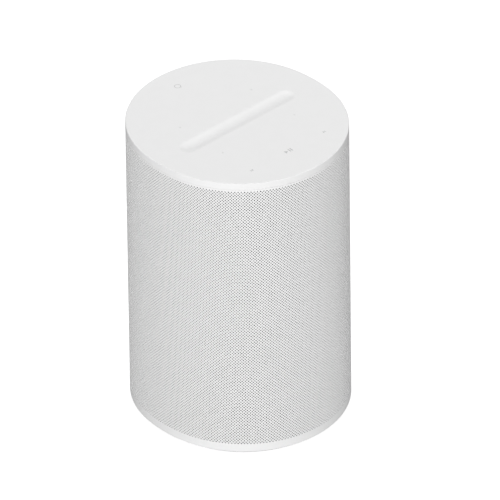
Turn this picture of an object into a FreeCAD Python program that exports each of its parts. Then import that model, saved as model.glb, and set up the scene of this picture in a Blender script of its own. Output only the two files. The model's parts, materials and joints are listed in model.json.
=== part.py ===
"""Table-top smart speaker, modelled as the separate pieces it is assembled from.

Units are millimetres.  The origin is the centre of the foot's underside, +Z is up,
the front faces -Y and the connector panel faces +Y.  The body's plan is an oval of
four tangent arcs; every shell, seat and board takes its place from that oval.
Each function builds one sub-part, and build_all() maps node names to shapes.
"""
import FreeCAD, Part
import math
import os

from FreeCAD import Placement, Rotation, Vector

# ---------------------------------------------------------------- body plan and height
end_radius = 59.685          # arcs across the front and the back
end_shift = 3.615            # how far those arcs' centres stand in front of and behind the axis
side_extra_radius = 20.9     # how much larger the side arcs' radius is
height = 182.5
top_edge_radius = 0.6
base_edge_radius = 0.6

# ---------------------------------------------------------------- skins
grille_wall = 1.2
base_band = 4.3              # visible side band of the base cover
top_band = 4.0               # visible side band of the top cover
seam = 0.08                  # parting gap under the top cover
slip_gap = 0.15              # between a spigot and the grille it centres
spigot_wall = 1.5
spigot_height = 4.5
foot_height = 1.8
foot_inset = 2.7
base_floor = 2.5
base_screw_margin_side = 21.0    # from the enclosure's walls to the base screws
base_screw_margin_front = 12.6
base_screw_margin_rear = 8.4

# ---------------------------------------------------------------- top cover and its trough
top_roof = 2.2
trough_length = 85.4
trough_width = 11.6
trough_depth = 1.25
trough_lip_share = 0.35      # share of the half width that is the rounded lip
mic_spacing_x = 54.2
mic_spacing_y = 34.8
mic_port_radius = 0.25

# ---------------------------------------------------------------- touch board
board_thickness = 1.6
touch_gasket_height = 1.8
touch_board_inset = 3.4
mic_size = 3.6
mic_height = 1.0
mic_gasket_radius = 2.6

# ---------------------------------------------------------------- top frame
frame_plate = 2.0
frame_leg_radius = 4.2
frame_leg_height = 12.0
frame_window_radius = 21.0
frame_post_radius = 2.6
frame_post_margin = 7.8      # from the touch board's edge to its posts
leg_margin = 5.5             # from the enclosure's walls to the nearest legs
front_leg_x = 10.0
rear_leg_margin = 25.2       # from the enclosure's sides to the rear legs

# ---------------------------------------------------------------- acoustic enclosure
housing_inset = 2.4          # from the body's skin to the enclosure
housing_wall = 2.8
housing_floor_z = 12.0
baffle_setback = 25.3        # from the front skin to the woofer's baffle
rear_wall_setback = 33.3     # from the rear skin to the enclosure's rear wall
split_y = 6.0
housing_gasket_thickness = 1.0
tweeter_setback = 17.7       # from the end arc's radius to the tweeter's seat
tweeter_angle = 56.0         # from straight ahead, in degrees
tweeter_below_top = 26.0
tweeter_zone = 46.0          # height of the faceted zone
foam_thickness = 12.0
foam_width = 76.0
foam_height = 84.0
foam_relief = 3.0

# ---------------------------------------------------------------- screws
screw_radius = 1.4
screw_head_radius = 2.6
screw_head_height = 2.0
screw_fit = 0.05             # radial gap round a screw
head_gap = 0.2               # radial gap round a screw's head
head_dome_share = 0.45       # rounded share of a head's height
recess_width_share = 0.3     # cross recess, as shares of the head's radius and height
recess_depth_share = 0.4
boss_radius = 4.2
boss_column_x = 44.0
boss_rib = 2.4
boss_rows = 4
boss_margin = 6.3            # from the enclosure's floor and roof to the end screws
housing_screw_length = 20.0

# ---------------------------------------------------------------- woofer
woofer_above_floor = 54.0
woofer_flange_radius = 43.0
woofer_flange = 2.0
woofer_bore_radius = 37.0
baffle_bore_gap = 1.0        # the baffle's and gasket's openings over the basket
woofer_gasket_thickness = 0.8
woofer_screw_circle = 40.3
basket_depth = 26.8          # from the flange's face to the back of the basket
basket_wall = 2.0
basket_windows = 6
motor_radius = 27.0
magnet_radius = 30.0
magnet_bore = 16.0
magnet_height = 12.0
front_plate = 5.0
yoke_plate = 5.0
pole_radius = 12.0
gap_width = 1.6
coil_clearance = 0.35
coil_former = 0.15
coil_winding = 0.6
former_length = 20.0
former_above_neck = 1.0
woofer_travel = 4.0
cone_radius = 31.0
cone_rim = 1.3
cone_depth = 16.0
cone_wall = 0.6
cone_collar = 1.8
cap_radius = 15.0
cap_rise = 4.0
cap_wall = 0.4
surround_wall = 0.6
surround_lip = 1.0
spider_wall = 0.5
spider_waves = 6             # half waves of its corrugation
spider_ledge = 3.0
spider_above_motor = 3.0
window_width = 12.0
window_margin = 2.0
ear_width = 14.0
ear_reach = 6.0              # how far the terminals' ear stands past the magnet
terminal_width = 12.0
terminal_height = 5.0
terminal_strip = 1.2
terminal_spacing = 6.0
tag_width = 2.4
tag_thickness = 0.8
tag_length = 4.8

# ---------------------------------------------------------------- tweeters
waveguide_radius = 16.5
waveguide_depth = 5.0
waveguide_rim = 1.0
waveguide_throat = 0.8         # straight part of the throat
waveguide_seat = 2.0           # web under the screws' heads
flare_share_out = 0.3          # the flare's middle point, as shares of its width and depth
flare_share_up = 0.62
dome_radius = 7.5
dome_rise = 2.4
dome_wall = 0.25
tweeter_surround_width = 1.1
tweeter_yoke_radius = 11.0
tweeter_yoke_depth = 11.0
tweeter_yoke_floor = 2.0
tweeter_pole_radius = 7.0
tweeter_coil_inner = 7.3
tweeter_coil_outer = 7.5
tweeter_gap_radius = 8.0
tweeter_pole_setback = 1.0
tweeter_coil_length = 5.6
surround_back = 0.2
surround_film = 0.4
tweeter_can_radius = 12.5
tweeter_can_depth = 16.0
tweeter_can_wall = 1.0
tweeter_bore_gap = 0.3
tweeter_screw_circle = 14.6
tweeter_screw_radius = 0.9
tweeter_screw_head = 1.2
tweeter_screw_head_height = 1.0
tweeter_head_gap = 0.1

# ---------------------------------------------------------------- rear panel
panel_proud = 3.9            # how far the connector plinth stands behind the body
panel_half_width = 22.0
panel_lip = 2.5              # lip behind each edge of the grille
panel_lip_wall = 1.2
plinth_half_width = 20.0
plinth_above_spigot = 0.9
plinth_height = 98.0
plinth_corner = 9.0
plinth_edge = 1.2
plinth_wall = 2.2
control_gap = 0.1            # radial fit of a button or knob in the panel

# ---------------------------------------------------------------- power inlet
inlet_above_plinth = 18.0
pin_spacing = 8.6
pin_radius = 1.19
pin_length = 9.0
pin_tip = 0.3
pin_tail_radius = 0.9
inlet_cavity_radius = 4.0
inlet_cavity_depth = 12.0
inlet_recess = 0.5
inlet_body_width = 24.0
inlet_body_height = 16.0
inlet_body_depth = 19.0
inlet_nose_wall = 1.0

# ---------------------------------------------------------------- rear controls
io_board_width = 30.0
io_board_height = 56.0
io_board_above_inlet = 16.0
io_board_behind_face = 8.8   # from the plinth's inner face to the board
io_post_radius = 2.2
io_post_margin = 3.0
socket_above_io_board = 8.0
socket_width = 3.26
socket_height = 8.94
socket_shell = 0.3
socket_recess = 0.6
socket_tongue = 0.7
socket_floor = 3.0
socket_tongue_recess = 1.0
socket_gap = 0.2
button_above_socket = 20.0
button_radius = 4.5
button_recess = 0.1
button_flange = 1.0
button_flange_extra = 1.1
button_travel = 0.8
button_stem_radius = 1.5
tact_size = 6.0
tact_height = 3.2
knob_above_button = 18.0
knob_width = 4.8
knob_height = 3.2
knob_travel = 2.5
knob_flange = 1.0
knob_flange_extra = 2.0
knob_recess = 0.4
knob_stem = 1.6
slide_switch_height = 3.6
contact_gap = 0.05

# ---------------------------------------------------------------- electronics
spreader_gap = 2.0
spreader_thickness = 1.5
spreader_width = 72.0
stud_radius = 2.6
stud_height = 4.0
stud_margin = 4.0
middle_stud_margin = 24.0    # from the spreader's ends to its tabs
circuit_board_width = 68.0
main_board_height = 72.0
power_board_height = 62.0
boards_gap = 6.0
board_screw_radius = 1.2
board_screw_head = 2.1
board_screw_head_height = 1.5
chip_height = 1.5
processor_size = 15.0
processor_x = -8.0
memory_width = 9.0
memory_height = 12.0
memory_x = 10.0
amplifier_size = 9.0
amplifier_x = -17.0          # middle of the pair
amplifier_spacing = 14.0
radio_size = 12.0
radio_x = 16.0
lower_row = 26.0             # chip rows, from the main board's foot
upper_row = 54.0
shield_size = 20.0
shield_height = 3.4
shield_wall = 0.3
thermal_pad_size = 18.0
capacitor_radius = 5.0
capacitor_length = 14.0
capacitor_edge = 0.8
capacitor_gap = 2.0
transformer_width = 24.0
transformer_height = 22.0
transformer_depth = 13.5
transformer_step = 3.0       # how far the winding's cheeks stand back
power_part_margin = 8.0      # from the power board's top to its parts
power_part_gap = 1.0         # from the board's middle to the parts on each side
antenna_length = 30.0
antenna_width = 8.0
antenna_thickness = 0.8

# ---------------------------------------------------------------- derived places
side_radius = end_radius + side_extra_radius
side_shift = math.sqrt(side_extra_radius ** 2 - end_shift ** 2)
join_angle = math.atan2(end_shift, side_shift)
half_width = side_radius - side_shift
half_depth = end_radius + end_shift
seam_low = foot_height + base_band
seam_high = height - top_band
roof_under = height - top_roof
touch_board_top = roof_under - touch_gasket_height
touch_board_z = touch_board_top - board_thickness
frame_top = seam_high - spigot_height
frame_under = frame_top - frame_plate
housing_top = frame_under - frame_leg_height
baffle_y = baffle_setback - half_depth
rear_wall_y = half_depth - rear_wall_setback
gasket_back = split_y + housing_gasket_thickness
tweeter_seat = end_radius - tweeter_setback
tweeter_z = housing_top - tweeter_below_top
facet_floor = housing_top - tweeter_zone
woofer_z = housing_floor_z + woofer_above_floor
flange_back = baffle_y - woofer_gasket_thickness
flange_face = flange_back - woofer_flange
basket_back = flange_face + basket_depth
plate_back = basket_back + front_plate
magnet_back = plate_back + magnet_height
yoke_back = magnet_back + yoke_plate
coil_inner = pole_radius + coil_clearance
former_outer = coil_inner + coil_former
winding_outer = former_outer + coil_winding
winding_height = front_plate + woofer_travel   # overhung, so the gap stays full
cone_neck_radius = former_outer + contact_gap
cone_neck_y = flange_face + cone_depth
former_front = cone_neck_y - former_above_neck
former_back = former_front + former_length
plinth_floor_z = seam_low + spigot_height + plinth_above_spigot
plinth_face = half_depth + panel_proud
plinth_inner = plinth_face - plinth_wall
inlet_z = plinth_floor_z + inlet_above_plinth
inlet_face = plinth_face - inlet_recess
cavity_floor = inlet_face - inlet_cavity_depth
io_board_face = plinth_inner - io_board_behind_face
io_board_back = io_board_face - board_thickness
io_board_z = inlet_z + io_board_above_inlet
socket_z = io_board_z + socket_above_io_board
button_z = socket_z + button_above_socket
knob_z = button_z + knob_above_button
spreader_front = rear_wall_y + spreader_gap
spreader_back = spreader_front + spreader_thickness
board_front = spreader_back + stud_height
board_back = board_front + board_thickness
spreader_height = power_board_height + boards_gap + main_board_height
spreader_floor = (housing_floor_z + housing_top - spreader_height) / 2
power_board_z = spreader_floor
main_board_z = power_board_z + power_board_height + boards_gap

FAR = 4 * height             # larger than the object, for half-space cutters


# ---------------------------------------------------------------- helpers
def box(x0, x1, y0, y1, z0, z1):
    """Box between two corners."""
    return Part.makeBox(x1 - x0, y1 - y0, z1 - z0, Vector(x0, y0, z0))


def disc(radius, y0, y1, x=0.0, z=0.0):
    """Solid disc along Y."""
    return Part.makeCylinder(radius, y1 - y0, Vector(x, y0, z), Vector(0, 1, 0))


def ring(outer, inner, y0, y1, x=0.0, z=0.0):
    """Flat ring along Y."""
    return disc(outer, y0, y1, x, z).cut(disc(inner, y0, y1, x, z))


def post(radius, z0, z1, x, y):
    """Upright cylinder."""
    return Part.makeCylinder(radius, z1 - z0, Vector(x, y, z0))


def fused(shapes):
    """One solid from overlapping or touching shapes."""
    whole = shapes[0]
    for shape in shapes[1:]:
        whole = whole.fuse(shape)
    return whole.removeSplitter()


def cut_all(shape, cutters):
    """The shape less every cutter."""
    for cutter in cutters:
        shape = shape.cut(cutter)
    return shape


def group(shapes):
    """Separate solids kept in one node."""
    return Part.makeCompound(shapes)


def only_solid(shape):
    """The single solid inside a boolean result."""
    return max(shape.Solids, key=lambda solid: solid.Volume)


def turned_solid(edges, z):
    """Solid of revolution about the Y-parallel axis at height z; edges lie in the X-Y plane."""
    face = Part.Face(Part.Wire(edges))
    solid = face.revolve(Vector(0, 0, 0), Vector(0, 1, 0), 360)
    solid.translate(Vector(0, 0, z))
    return solid


def polygon_edges(points):
    """Closed run of straight edges through (radius, y) points."""
    corners = [Vector(r, y, 0) for r, y in points]
    return [Part.LineSegment(a, b).toShape() for a, b in zip(corners, corners[1:] + corners[:1])]


def oval_wire(inset, z):
    """The plan outline, moved inwards by inset, as four tangent arcs at height z."""
    end = end_radius - inset
    corner_x = end * math.cos(join_angle)
    corner_y = end_shift + end * math.sin(join_angle)
    corners = [Vector(corner_x, corner_y, z), Vector(-corner_x, corner_y, z),
               Vector(-corner_x, -corner_y, z), Vector(corner_x, -corner_y, z)]
    middles = [Vector(0, half_depth - inset, z), Vector(inset - half_width, 0, z),
               Vector(0, inset - half_depth, z), Vector(half_width - inset, 0, z)]
    following = corners[1:] + corners[:1]
    arcs = [Part.Arc(a, m, b).toShape() for a, m, b in zip(corners, middles, following)]
    return Part.Wire(arcs)


def oval(inset, z0, z1):
    """Upright prism on the plan outline."""
    return Part.Face(oval_wire(inset, z0)).extrude(Vector(0, 0, z1 - z0))


def oval_ring(inset, wall, z0, z1):
    """Upright wall that follows the plan outline."""
    return oval(inset, z0, z1).cut(oval(inset + wall, z0, z1))


def screw(length, radius=screw_radius, head=screw_head_radius, head_height=screw_head_height):
    """Pan-head screw along +Z with the underside of its head at the origin, pointing down."""
    shank = post(radius, -length, 0, 0, 0)
    cap = post(head, 0, head_height, 0, 0)
    dome = [edge for edge in cap.Edges if abs(edge.CenterOfMass.z - head_height) < 1e-6]
    cap = cap.makeFillet(head_dome_share * head_height, dome)
    width = recess_width_share * head
    depth = recess_depth_share * head_height
    recess = Part.makeBox(head, width, depth, Vector(-head / 2, -width / 2, head_height - depth))
    crossed = recess.copy()
    crossed.rotate(Vector(0, 0, 0), Vector(0, 0, 1), 90)
    return fused([shank, cap]).cut(recess).cut(crossed)


def aimed(shape, point, direction):
    """The shape with its own +Z turned to direction and its origin moved to point."""
    moved = shape.copy()
    moved.Placement = Placement(Vector(*point), Rotation(Vector(0, 0, 1), Vector(*direction)))
    return moved


def four(x, y):
    """The four (x, y) corners of a centred rectangle."""
    return [(x, y), (-x, y), (-x, -y), (x, -y)]


# ---------------------------------------------------------------- top of the speaker
def trough_cutter():
    """Shallow round-ended trough: a hollow arc blended into the top by a lip arc on each side."""
    half = trough_width / 2
    lip_run = trough_lip_share * half
    # the same slope where the two arcs meet makes their drops add up to the depth
    slope_angle = 2 * math.atan(trough_depth / half)
    lip_radius = lip_run / math.sin(slope_angle)
    bowl_radius = (half - lip_run) / math.sin(slope_angle)
    lip_drop = lip_radius * (1 - math.cos(slope_angle))
    half_slope = slope_angle / 2
    rim = Vector(half, 0, height)
    lip_middle = Vector(half - lip_radius * math.sin(half_slope), 0,
                        height - lip_radius * (1 - math.cos(half_slope)))
    joint = Vector(half - lip_run, 0, height - lip_drop)
    bowl_middle = Vector(bowl_radius * math.sin(half_slope), 0,
                         height - trough_depth + bowl_radius * (1 - math.cos(half_slope)))
    bottom = Vector(0, 0, height - trough_depth)
    crown = Vector(0, 0, height + 1)
    brim = Vector(half, 0, height + 1)
    edges = [Part.Arc(rim, lip_middle, joint).toShape(),
             Part.Arc(joint, bowl_middle, bottom).toShape(),
             Part.LineSegment(bottom, crown).toShape(),
             Part.LineSegment(crown, brim).toShape(),
             Part.LineSegment(brim, rim).toShape()]
    face = Part.Face(Part.Wire(edges))
    straight = trough_length / 2 - half
    end = face.revolve(Vector(0, 0, 0), Vector(0, 0, 1), 360)
    ends = [end.translated(Vector(side * straight, 0, 0)) for side in (-1, 1)]
    side_face = face.copy()
    side_face.rotate(Vector(0, 0, 0), Vector(0, 0, 1), 90)
    side_face.translate(Vector(-straight, 0, 0))
    run = side_face.extrude(Vector(2 * straight, 0, 0))
    mirrored = run.mirror(Vector(0, 0, 0), Vector(0, 1, 0))
    return fused([run, mirrored] + ends)


def trough_backing():
    """Thickening under the trough that keeps the roof's wall."""
    half = trough_width / 2
    straight = trough_length / 2 - half
    floor = roof_under - trough_depth
    block = box(-straight, straight, -half, half, floor, roof_under)
    ends = [post(half, floor, roof_under, side * straight, 0) for side in (-1, 1)]
    return fused([block] + ends)


def mic_places():
    """Plan places of the four microphones."""
    return four(mic_spacing_x / 2, mic_spacing_y / 2)


def top_cover():
    """Moulded cap with a rounded rim, the trough, four microphone ports and a locating spigot."""
    cap = oval(0, seam_high, height)
    rim = [edge for edge in cap.Edges if abs(edge.CenterOfMass.z - height) < 1e-6]
    cap = cap.makeFillet(top_edge_radius, rim)
    inner = grille_wall + slip_gap + spigot_wall
    cap = cap.cut(oval(inner, seam_high, roof_under))
    spigot = oval_ring(grille_wall + slip_gap, spigot_wall, frame_top, roof_under)
    cap = fused([cap, spigot, trough_backing()]).cut(trough_cutter())
    ports = [post(mic_port_radius, roof_under, height, x, y) for x, y in mic_places()]
    return only_solid(cut_all(cap, ports))


def frame_post_places():
    """Plan places of the posts under the touch board."""
    y = half_depth - touch_board_inset - frame_post_margin
    x = half_width - touch_board_inset - frame_post_margin
    return [(0, y), (0, -y), (x, 0), (-x, 0)]


def touch_board():
    """Board with the touch electrodes, under the cap."""
    plate = oval(touch_board_inset, touch_board_z, touch_board_top)
    ports = [post(mic_port_radius, touch_board_z, touch_board_top, x, y) for x, y in mic_places()]
    return cut_all(plate, ports)


def microphones():
    """Four bottom-port microphones on the touch board's underside."""
    half = mic_size / 2
    low = touch_board_z - mic_height
    return group([box(x - half, x + half, y - half, y + half, low, touch_board_z)
                  for x, y in mic_places()])


def microphone_gaskets():
    """Soft rings that seal each port between the board and the cap."""
    rings = []
    for x, y in mic_places():
        tube = post(mic_gasket_radius, touch_board_top, roof_under, x, y)
        rings.append(tube.cut(post(mic_port_radius, touch_board_top, roof_under, x, y)))
    return group(rings)


def leg_places():
    """Plan places of the frame's legs, over the enclosure's roof."""
    rear_x = half_width - housing_inset - housing_wall - rear_leg_margin
    front_y = baffle_y + housing_wall + leg_margin
    rear_y = rear_wall_y - housing_wall - leg_margin
    return [(front_leg_x, front_y), (-front_leg_x, front_y), (rear_x, rear_y), (-rear_x, rear_y)]


def top_frame():
    """Plate on four legs that carries the cap and the touch board and centres the grille."""
    plate = oval(grille_wall + slip_gap, frame_under, frame_top)
    plate = plate.cut(post(frame_window_radius, frame_under, frame_top, 0, 0))
    legs = [post(frame_leg_radius, housing_top, frame_under, x, y) for x, y in leg_places()]
    posts = [post(frame_post_radius, frame_top, touch_board_z, x, y)
             for x, y in frame_post_places()]
    frame = fused([plate] + legs + posts)
    seat = housing_top + boss_rib
    cutters = []
    for x, y in leg_places():
        cutters.append(post(screw_radius + screw_fit, housing_top, seat, x, y))
        cutters.append(post(screw_head_radius + head_gap, seat, frame_top, x, y))
    return only_solid(cut_all(frame, cutters))


def leg_screw_length():
    """Reach of a leg screw into the enclosure."""
    return boss_rib + housing_wall + housing_screw_length / 2


def top_screws():
    """Four screws down the frame's legs into the enclosure."""
    driven = screw(leg_screw_length())
    return group([aimed(driven, (x, y, housing_top + boss_rib), (0, 0, 1))
                  for x, y in leg_places()])


def radio_antennas():
    """Two strip antennas lying on the enclosure's roof."""
    front = -antenna_width / 2
    x0 = contact_gap + antenna_width / 2
    strips = [box(x0, x0 + antenna_length, front, -front, housing_top,
                  housing_top + antenna_thickness)]
    strips.append(strips[0].mirror(Vector(0, 0, 0), Vector(1, 0, 0)))
    return group(strips)


# ---------------------------------------------------------------- skin and base
def grille():
    """Sleeve round the body, open behind where the connector panel stands."""
    sleeve = oval_ring(0, grille_wall, seam_low, seam_high - seam)
    slot = panel_half_width + contact_gap
    return only_solid(sleeve.cut(box(-slot, slot, 0, FAR, 0, height)))


def base_screw_places():
    """Plan places of the screws that hold the base to the enclosure."""
    reach = half_width - housing_inset - housing_wall - base_screw_margin_side
    front_y = baffle_y + housing_wall + base_screw_margin_front
    rear_y = rear_wall_y - housing_wall - base_screw_margin_rear
    return [(reach, front_y), (-reach, front_y), (reach, rear_y), (-reach, rear_y)]


def base_cover():
    """Shallow tray under the body, with a rounded lower edge, bosses and a spigot."""
    tray = oval(0, foot_height, seam_low)
    edge = [item for item in tray.Edges if abs(item.CenterOfMass.z - foot_height) < 1e-6]
    tray = tray.makeFillet(base_edge_radius, edge)
    inner = grille_wall + slip_gap + spigot_wall
    floor_top = foot_height + base_floor
    tray = tray.cut(oval(inner, floor_top, seam_low))
    spigot = oval_ring(grille_wall + slip_gap, spigot_wall, floor_top, seam_low + spigot_height)
    bosses = [post(boss_radius, floor_top, housing_floor_z, x, y) for x, y in base_screw_places()]
    tray = fused([tray, spigot] + bosses)
    cutters = []
    for x, y in base_screw_places():
        seat = foot_height + base_floor
        cutters.append(post(screw_head_radius + head_gap, foot_height, seat, x, y))
        cutters.append(post(screw_radius + screw_fit, seat, housing_floor_z, x, y))
    return only_solid(cut_all(tray, cutters))


def base_screw_length():
    """Reach of a base screw into the enclosure."""
    rise = housing_floor_z - foot_height - base_floor
    return rise + housing_wall + housing_screw_length / 4


def base_screws():
    """Four screws up through the base, hidden by the foot."""
    driven = screw(base_screw_length())
    seat = foot_height + base_floor
    return group([aimed(driven, (x, y, seat), (0, 0, -1)) for x, y in base_screw_places()])


def foot_pad():
    """Flat rubber pad glued under the base."""
    return oval(foot_inset, 0, foot_height)


# ---------------------------------------------------------------- acoustic enclosure
def tweeter_direction(side):
    """Unit vector along a tweeter's axis; side is -1 for left and 1 for right."""
    turn = math.radians(tweeter_angle)
    return Vector(side * math.sin(turn), -math.cos(turn), 0)


def beyond_facet(side, distance, z0):
    """Half space beyond the plane that a tweeter is seated on."""
    block = Part.makeBox(FAR, FAR, FAR, Vector(-FAR / 2, -FAR / 2, 0))
    block.Placement = Placement(tweeter_direction(side) * distance,
                                Rotation(Vector(0, 0, 1), tweeter_direction(side)))
    return block.common(box(-FAR, FAR, -FAR, FAR, z0, FAR))


def enclosure_body(inset):
    """The enclosure's outer shape, moved inwards by inset."""
    body = oval(housing_inset + inset, housing_floor_z + inset, housing_top - inset)
    body = body.common(box(-FAR, FAR, baffle_y + inset, rear_wall_y - inset, 0, FAR))
    facets = [beyond_facet(side, tweeter_seat - inset, facet_floor - inset) for side in (-1, 1)]
    return cut_all(body, facets)


def boss_heights():
    """Heights of the screws up each side of the enclosure."""
    low = housing_floor_z + housing_wall + boss_margin
    high = housing_top - housing_wall - boss_margin
    pitch = (high - low) / (boss_rows - 1)
    return [low + pitch * row for row in range(boss_rows)]


def boss_columns():
    """(x, z) places of the screws that join the two halves of the enclosure."""
    return [(side * boss_column_x, z) for side in (-1, 1) for z in boss_heights()]


def boss_ribs(y0, y1):
    """Ribs that tie each boss to the side wall."""
    ribs = []
    for x, z in boss_columns():
        side = math.copysign(1, x)
        near, far = sorted((x, side * (half_width - housing_inset)))
        ribs.append(box(near, far, y0, y1, z - boss_rib / 2, z + boss_rib / 2))
    return ribs


def woofer_screw_places():
    """(x, z) places of the woofer's screws."""
    reach = woofer_screw_circle * math.sqrt(0.5)
    return [(x, woofer_z + z) for x, z in four(reach, reach)]


def tweeter_screw_frames():
    """Places and directions of the tweeters' screws, on their seats."""
    frames = []
    for side in (-1, 1):
        ahead = tweeter_direction(side)
        across = Vector(-ahead.y, ahead.x, 0)
        for angle in (90, 210, 330):
            turn = math.radians(angle)
            arm = across * math.cos(turn) + Vector(0, 0, 1) * math.sin(turn)
            frames.append((ahead * tweeter_seat + arm * tweeter_screw_circle
                           + Vector(0, 0, tweeter_z), ahead))
    return frames


def screw_pillars(base_place, leg_place):
    """Pillars inside the enclosure round one pair of base screws and one pair of leg screws."""
    base_x, base_y = base_place
    leg_x, leg_y = leg_place
    base_top = housing_floor_z + housing_wall + housing_screw_length / 4 + boss_rib
    leg_foot = housing_top - housing_wall - housing_screw_length / 2 - boss_rib
    pillars = []
    for side in (-1, 1):
        pillars.append(post(boss_radius, housing_floor_z, base_top, side * base_x, base_y))
        pillars.append(post(boss_radius, leg_foot, housing_top, side * leg_x, leg_y))
    return pillars


def front_housing():
    """Front half of the sealed enclosure, with the baffle and both tweeter seats."""
    shell = enclosure_body(0).cut(enclosure_body(housing_wall))
    shell = shell.common(box(-FAR, FAR, -FAR, split_y, 0, FAR))
    boss_front = split_y - housing_screw_length / 2 - boss_rib
    bosses = [disc(boss_radius, boss_front, split_y, x, z) for x, z in boss_columns()]
    places = base_screw_places()[0], leg_places()[0]
    supports = bosses + boss_ribs(boss_front, split_y) + screw_pillars(*places)
    shell = fused([shell] + [support.common(enclosure_body(0)) for support in supports])
    cutters = [disc(woofer_bore_radius + baffle_bore_gap, baffle_y, baffle_y + housing_wall, 0, woofer_z)]
    cutters += [disc(screw_radius + screw_fit, baffle_y, baffle_y + housing_wall, x, z)
                for x, z in woofer_screw_places()]
    cutters += [disc(screw_radius + screw_fit, boss_front + boss_rib / 2, split_y, x, z)
                for x, z in boss_columns()]
    cutters += tweeter_bores()
    cutters += [aimed(post(tweeter_screw_radius + screw_fit, -housing_wall, 0, 0, 0), place, ahead)
                for place, ahead in tweeter_screw_frames()]
    cutters += vertical_screw_holes(*places)
    return only_solid(cut_all(shell, cutters))


def vertical_screw_holes(base_place, leg_place):
    """Pilot holes for a pair of base screws and a pair of leg screws."""
    base_x, base_y = base_place
    leg_x, leg_y = leg_place
    base_tip = foot_height + base_floor + base_screw_length() + contact_gap
    leg_tip = housing_top + boss_rib - leg_screw_length() - contact_gap
    holes = []
    for side in (-1, 1):
        holes.append(post(screw_radius + screw_fit, housing_floor_z, base_tip,
                          side * base_x, base_y))
        holes.append(post(screw_radius + screw_fit, leg_tip, housing_top, side * leg_x, leg_y))
    return holes


def tweeter_bores():
    """Holes through the facets for the tweeters' rear cans."""
    drill = post(tweeter_can_radius + tweeter_bore_gap, -2 * housing_wall, housing_wall, 0, 0)
    bores = []
    for side in (-1, 1):
        ahead = tweeter_direction(side)
        bores.append(aimed(drill, ahead * tweeter_seat + Vector(0, 0, tweeter_z), ahead))
    return bores


def rear_housing():
    """Rear half of the sealed enclosure; its bosses take the joining screws from behind."""
    shell = enclosure_body(0).cut(enclosure_body(housing_wall))
    shell = shell.common(box(-FAR, FAR, gasket_back, FAR, 0, FAR))
    tubes = [disc(boss_radius, gasket_back, rear_wall_y, x, z) for x, z in boss_columns()]
    places = base_screw_places()[2], leg_places()[2]
    supports = [support.common(enclosure_body(0)) for support in tubes + screw_pillars(*places)]
    pads = [disc(stud_radius, rear_wall_y, spreader_front, x, z) for x, z in spreader_pads()]
    shell = fused([shell] + supports + pads)
    seat = housing_screw_seat()
    cutters = [disc(screw_radius + screw_fit, gasket_back, seat, x, z) for x, z in boss_columns()]
    cutters += [disc(screw_head_radius + head_gap, seat, rear_wall_y, x, z)
                for x, z in boss_columns()]
    cutters += vertical_screw_holes(*places)
    return only_solid(cut_all(shell, cutters))


def housing_screw_seat():
    """Where the heads of the joining screws sit, inside the rear bosses."""
    return split_y + housing_screw_length / 2


def housing_screws():
    """Eight screws that join the two halves of the enclosure."""
    driven = screw(housing_screw_length)
    seat = housing_screw_seat()
    return group([aimed(driven, (x, seat, z), (0, 1, 0)) for x, z in boss_columns()])


def housing_gasket():
    """Flat seal between the two halves of the enclosure."""
    wall = enclosure_body(0).cut(enclosure_body(housing_wall))
    pads = [disc(boss_radius, split_y, gasket_back, x, z) for x, z in boss_columns()]
    pads += boss_ribs(split_y, gasket_back)
    seal = fused([wall] + [pad.common(enclosure_body(0)) for pad in pads])
    seal = seal.common(box(-FAR, FAR, split_y, gasket_back, 0, FAR))
    holes = [disc(screw_radius + screw_fit, split_y, gasket_back, x, z) for x, z in boss_columns()]
    return only_solid(cut_all(seal, holes))


def damping_foam():
    """Foam block on the rear wall, relieved round the woofer's motor."""
    back = rear_wall_y - housing_wall
    half = foam_width / 2
    block = box(-half, half, back - foam_thickness, back,
                woofer_z - foam_height / 2, woofer_z + foam_height / 2)
    relief = disc(motor_radius + foam_relief, -FAR, yoke_back + foam_relief, 0, woofer_z)
    return only_solid(block.cut(relief))


# ---------------------------------------------------------------- woofer
def woofer_frame():
    """Basket: flange, tapered skirt with windows, back plate and the terminals' ear."""
    skirt_foot = motor_radius
    inner_foot = motor_radius - basket_wall
    bore = magnet_bore
    outline = [(woofer_flange_radius, flange_face), (woofer_flange_radius, flange_back),
               (woofer_bore_radius, flange_back), (skirt_foot, basket_back),
               (bore, basket_back), (bore, basket_back - basket_wall),
               (inner_foot, basket_back - basket_wall),
               (woofer_bore_radius - basket_wall, flange_back),
               (woofer_bore_radius - basket_wall, flange_face)]
    basket = turned_solid(polygon_edges(outline), woofer_z)
    ledge_y = basket_back - spider_above_motor
    ledge = ring(inner_foot, inner_foot - spider_ledge, ledge_y, basket_back, 0, woofer_z)
    ear_top = woofer_z + magnet_radius + ear_reach
    ear = box(-ear_width / 2, ear_width / 2, basket_back - basket_wall, basket_back,
              woofer_z + inner_foot, ear_top)
    window = box(-window_width / 2, window_width / 2, flange_back + window_margin,
                 ledge_y - window_margin, inner_foot - window_margin,
                 woofer_bore_radius + window_margin)
    windows = []
    for step in range(basket_windows):
        opening = window.copy()
        turn = 360 * (step + 0.5) / basket_windows
        opening.rotate(Vector(0, 0, 0), Vector(0, 1, 0), turn)
        opening.translate(Vector(0, 0, woofer_z))
        windows.append(opening)
    holes = [disc(screw_radius + screw_fit, flange_face, flange_back, x, z)
             for x, z in woofer_screw_places()]
    return only_solid(cut_all(fused([basket, ledge, ear]), windows + holes))


def woofer_gasket():
    """Foam ring between the woofer's flange and the baffle."""
    bore = woofer_bore_radius + baffle_bore_gap
    seal = ring(woofer_flange_radius, bore, flange_back, baffle_y, 0, woofer_z)
    holes = [disc(screw_radius + screw_fit, flange_back, baffle_y, x, z)
             for x, z in woofer_screw_places()]
    return cut_all(seal, holes)


def woofer_screws():
    """Four screws that hold the woofer to the baffle."""
    driven = screw(woofer_flange + woofer_gasket_thickness + housing_wall)
    return group([aimed(driven, (x, flange_face, z), (0, -1, 0)) for x, z in woofer_screw_places()])


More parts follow.
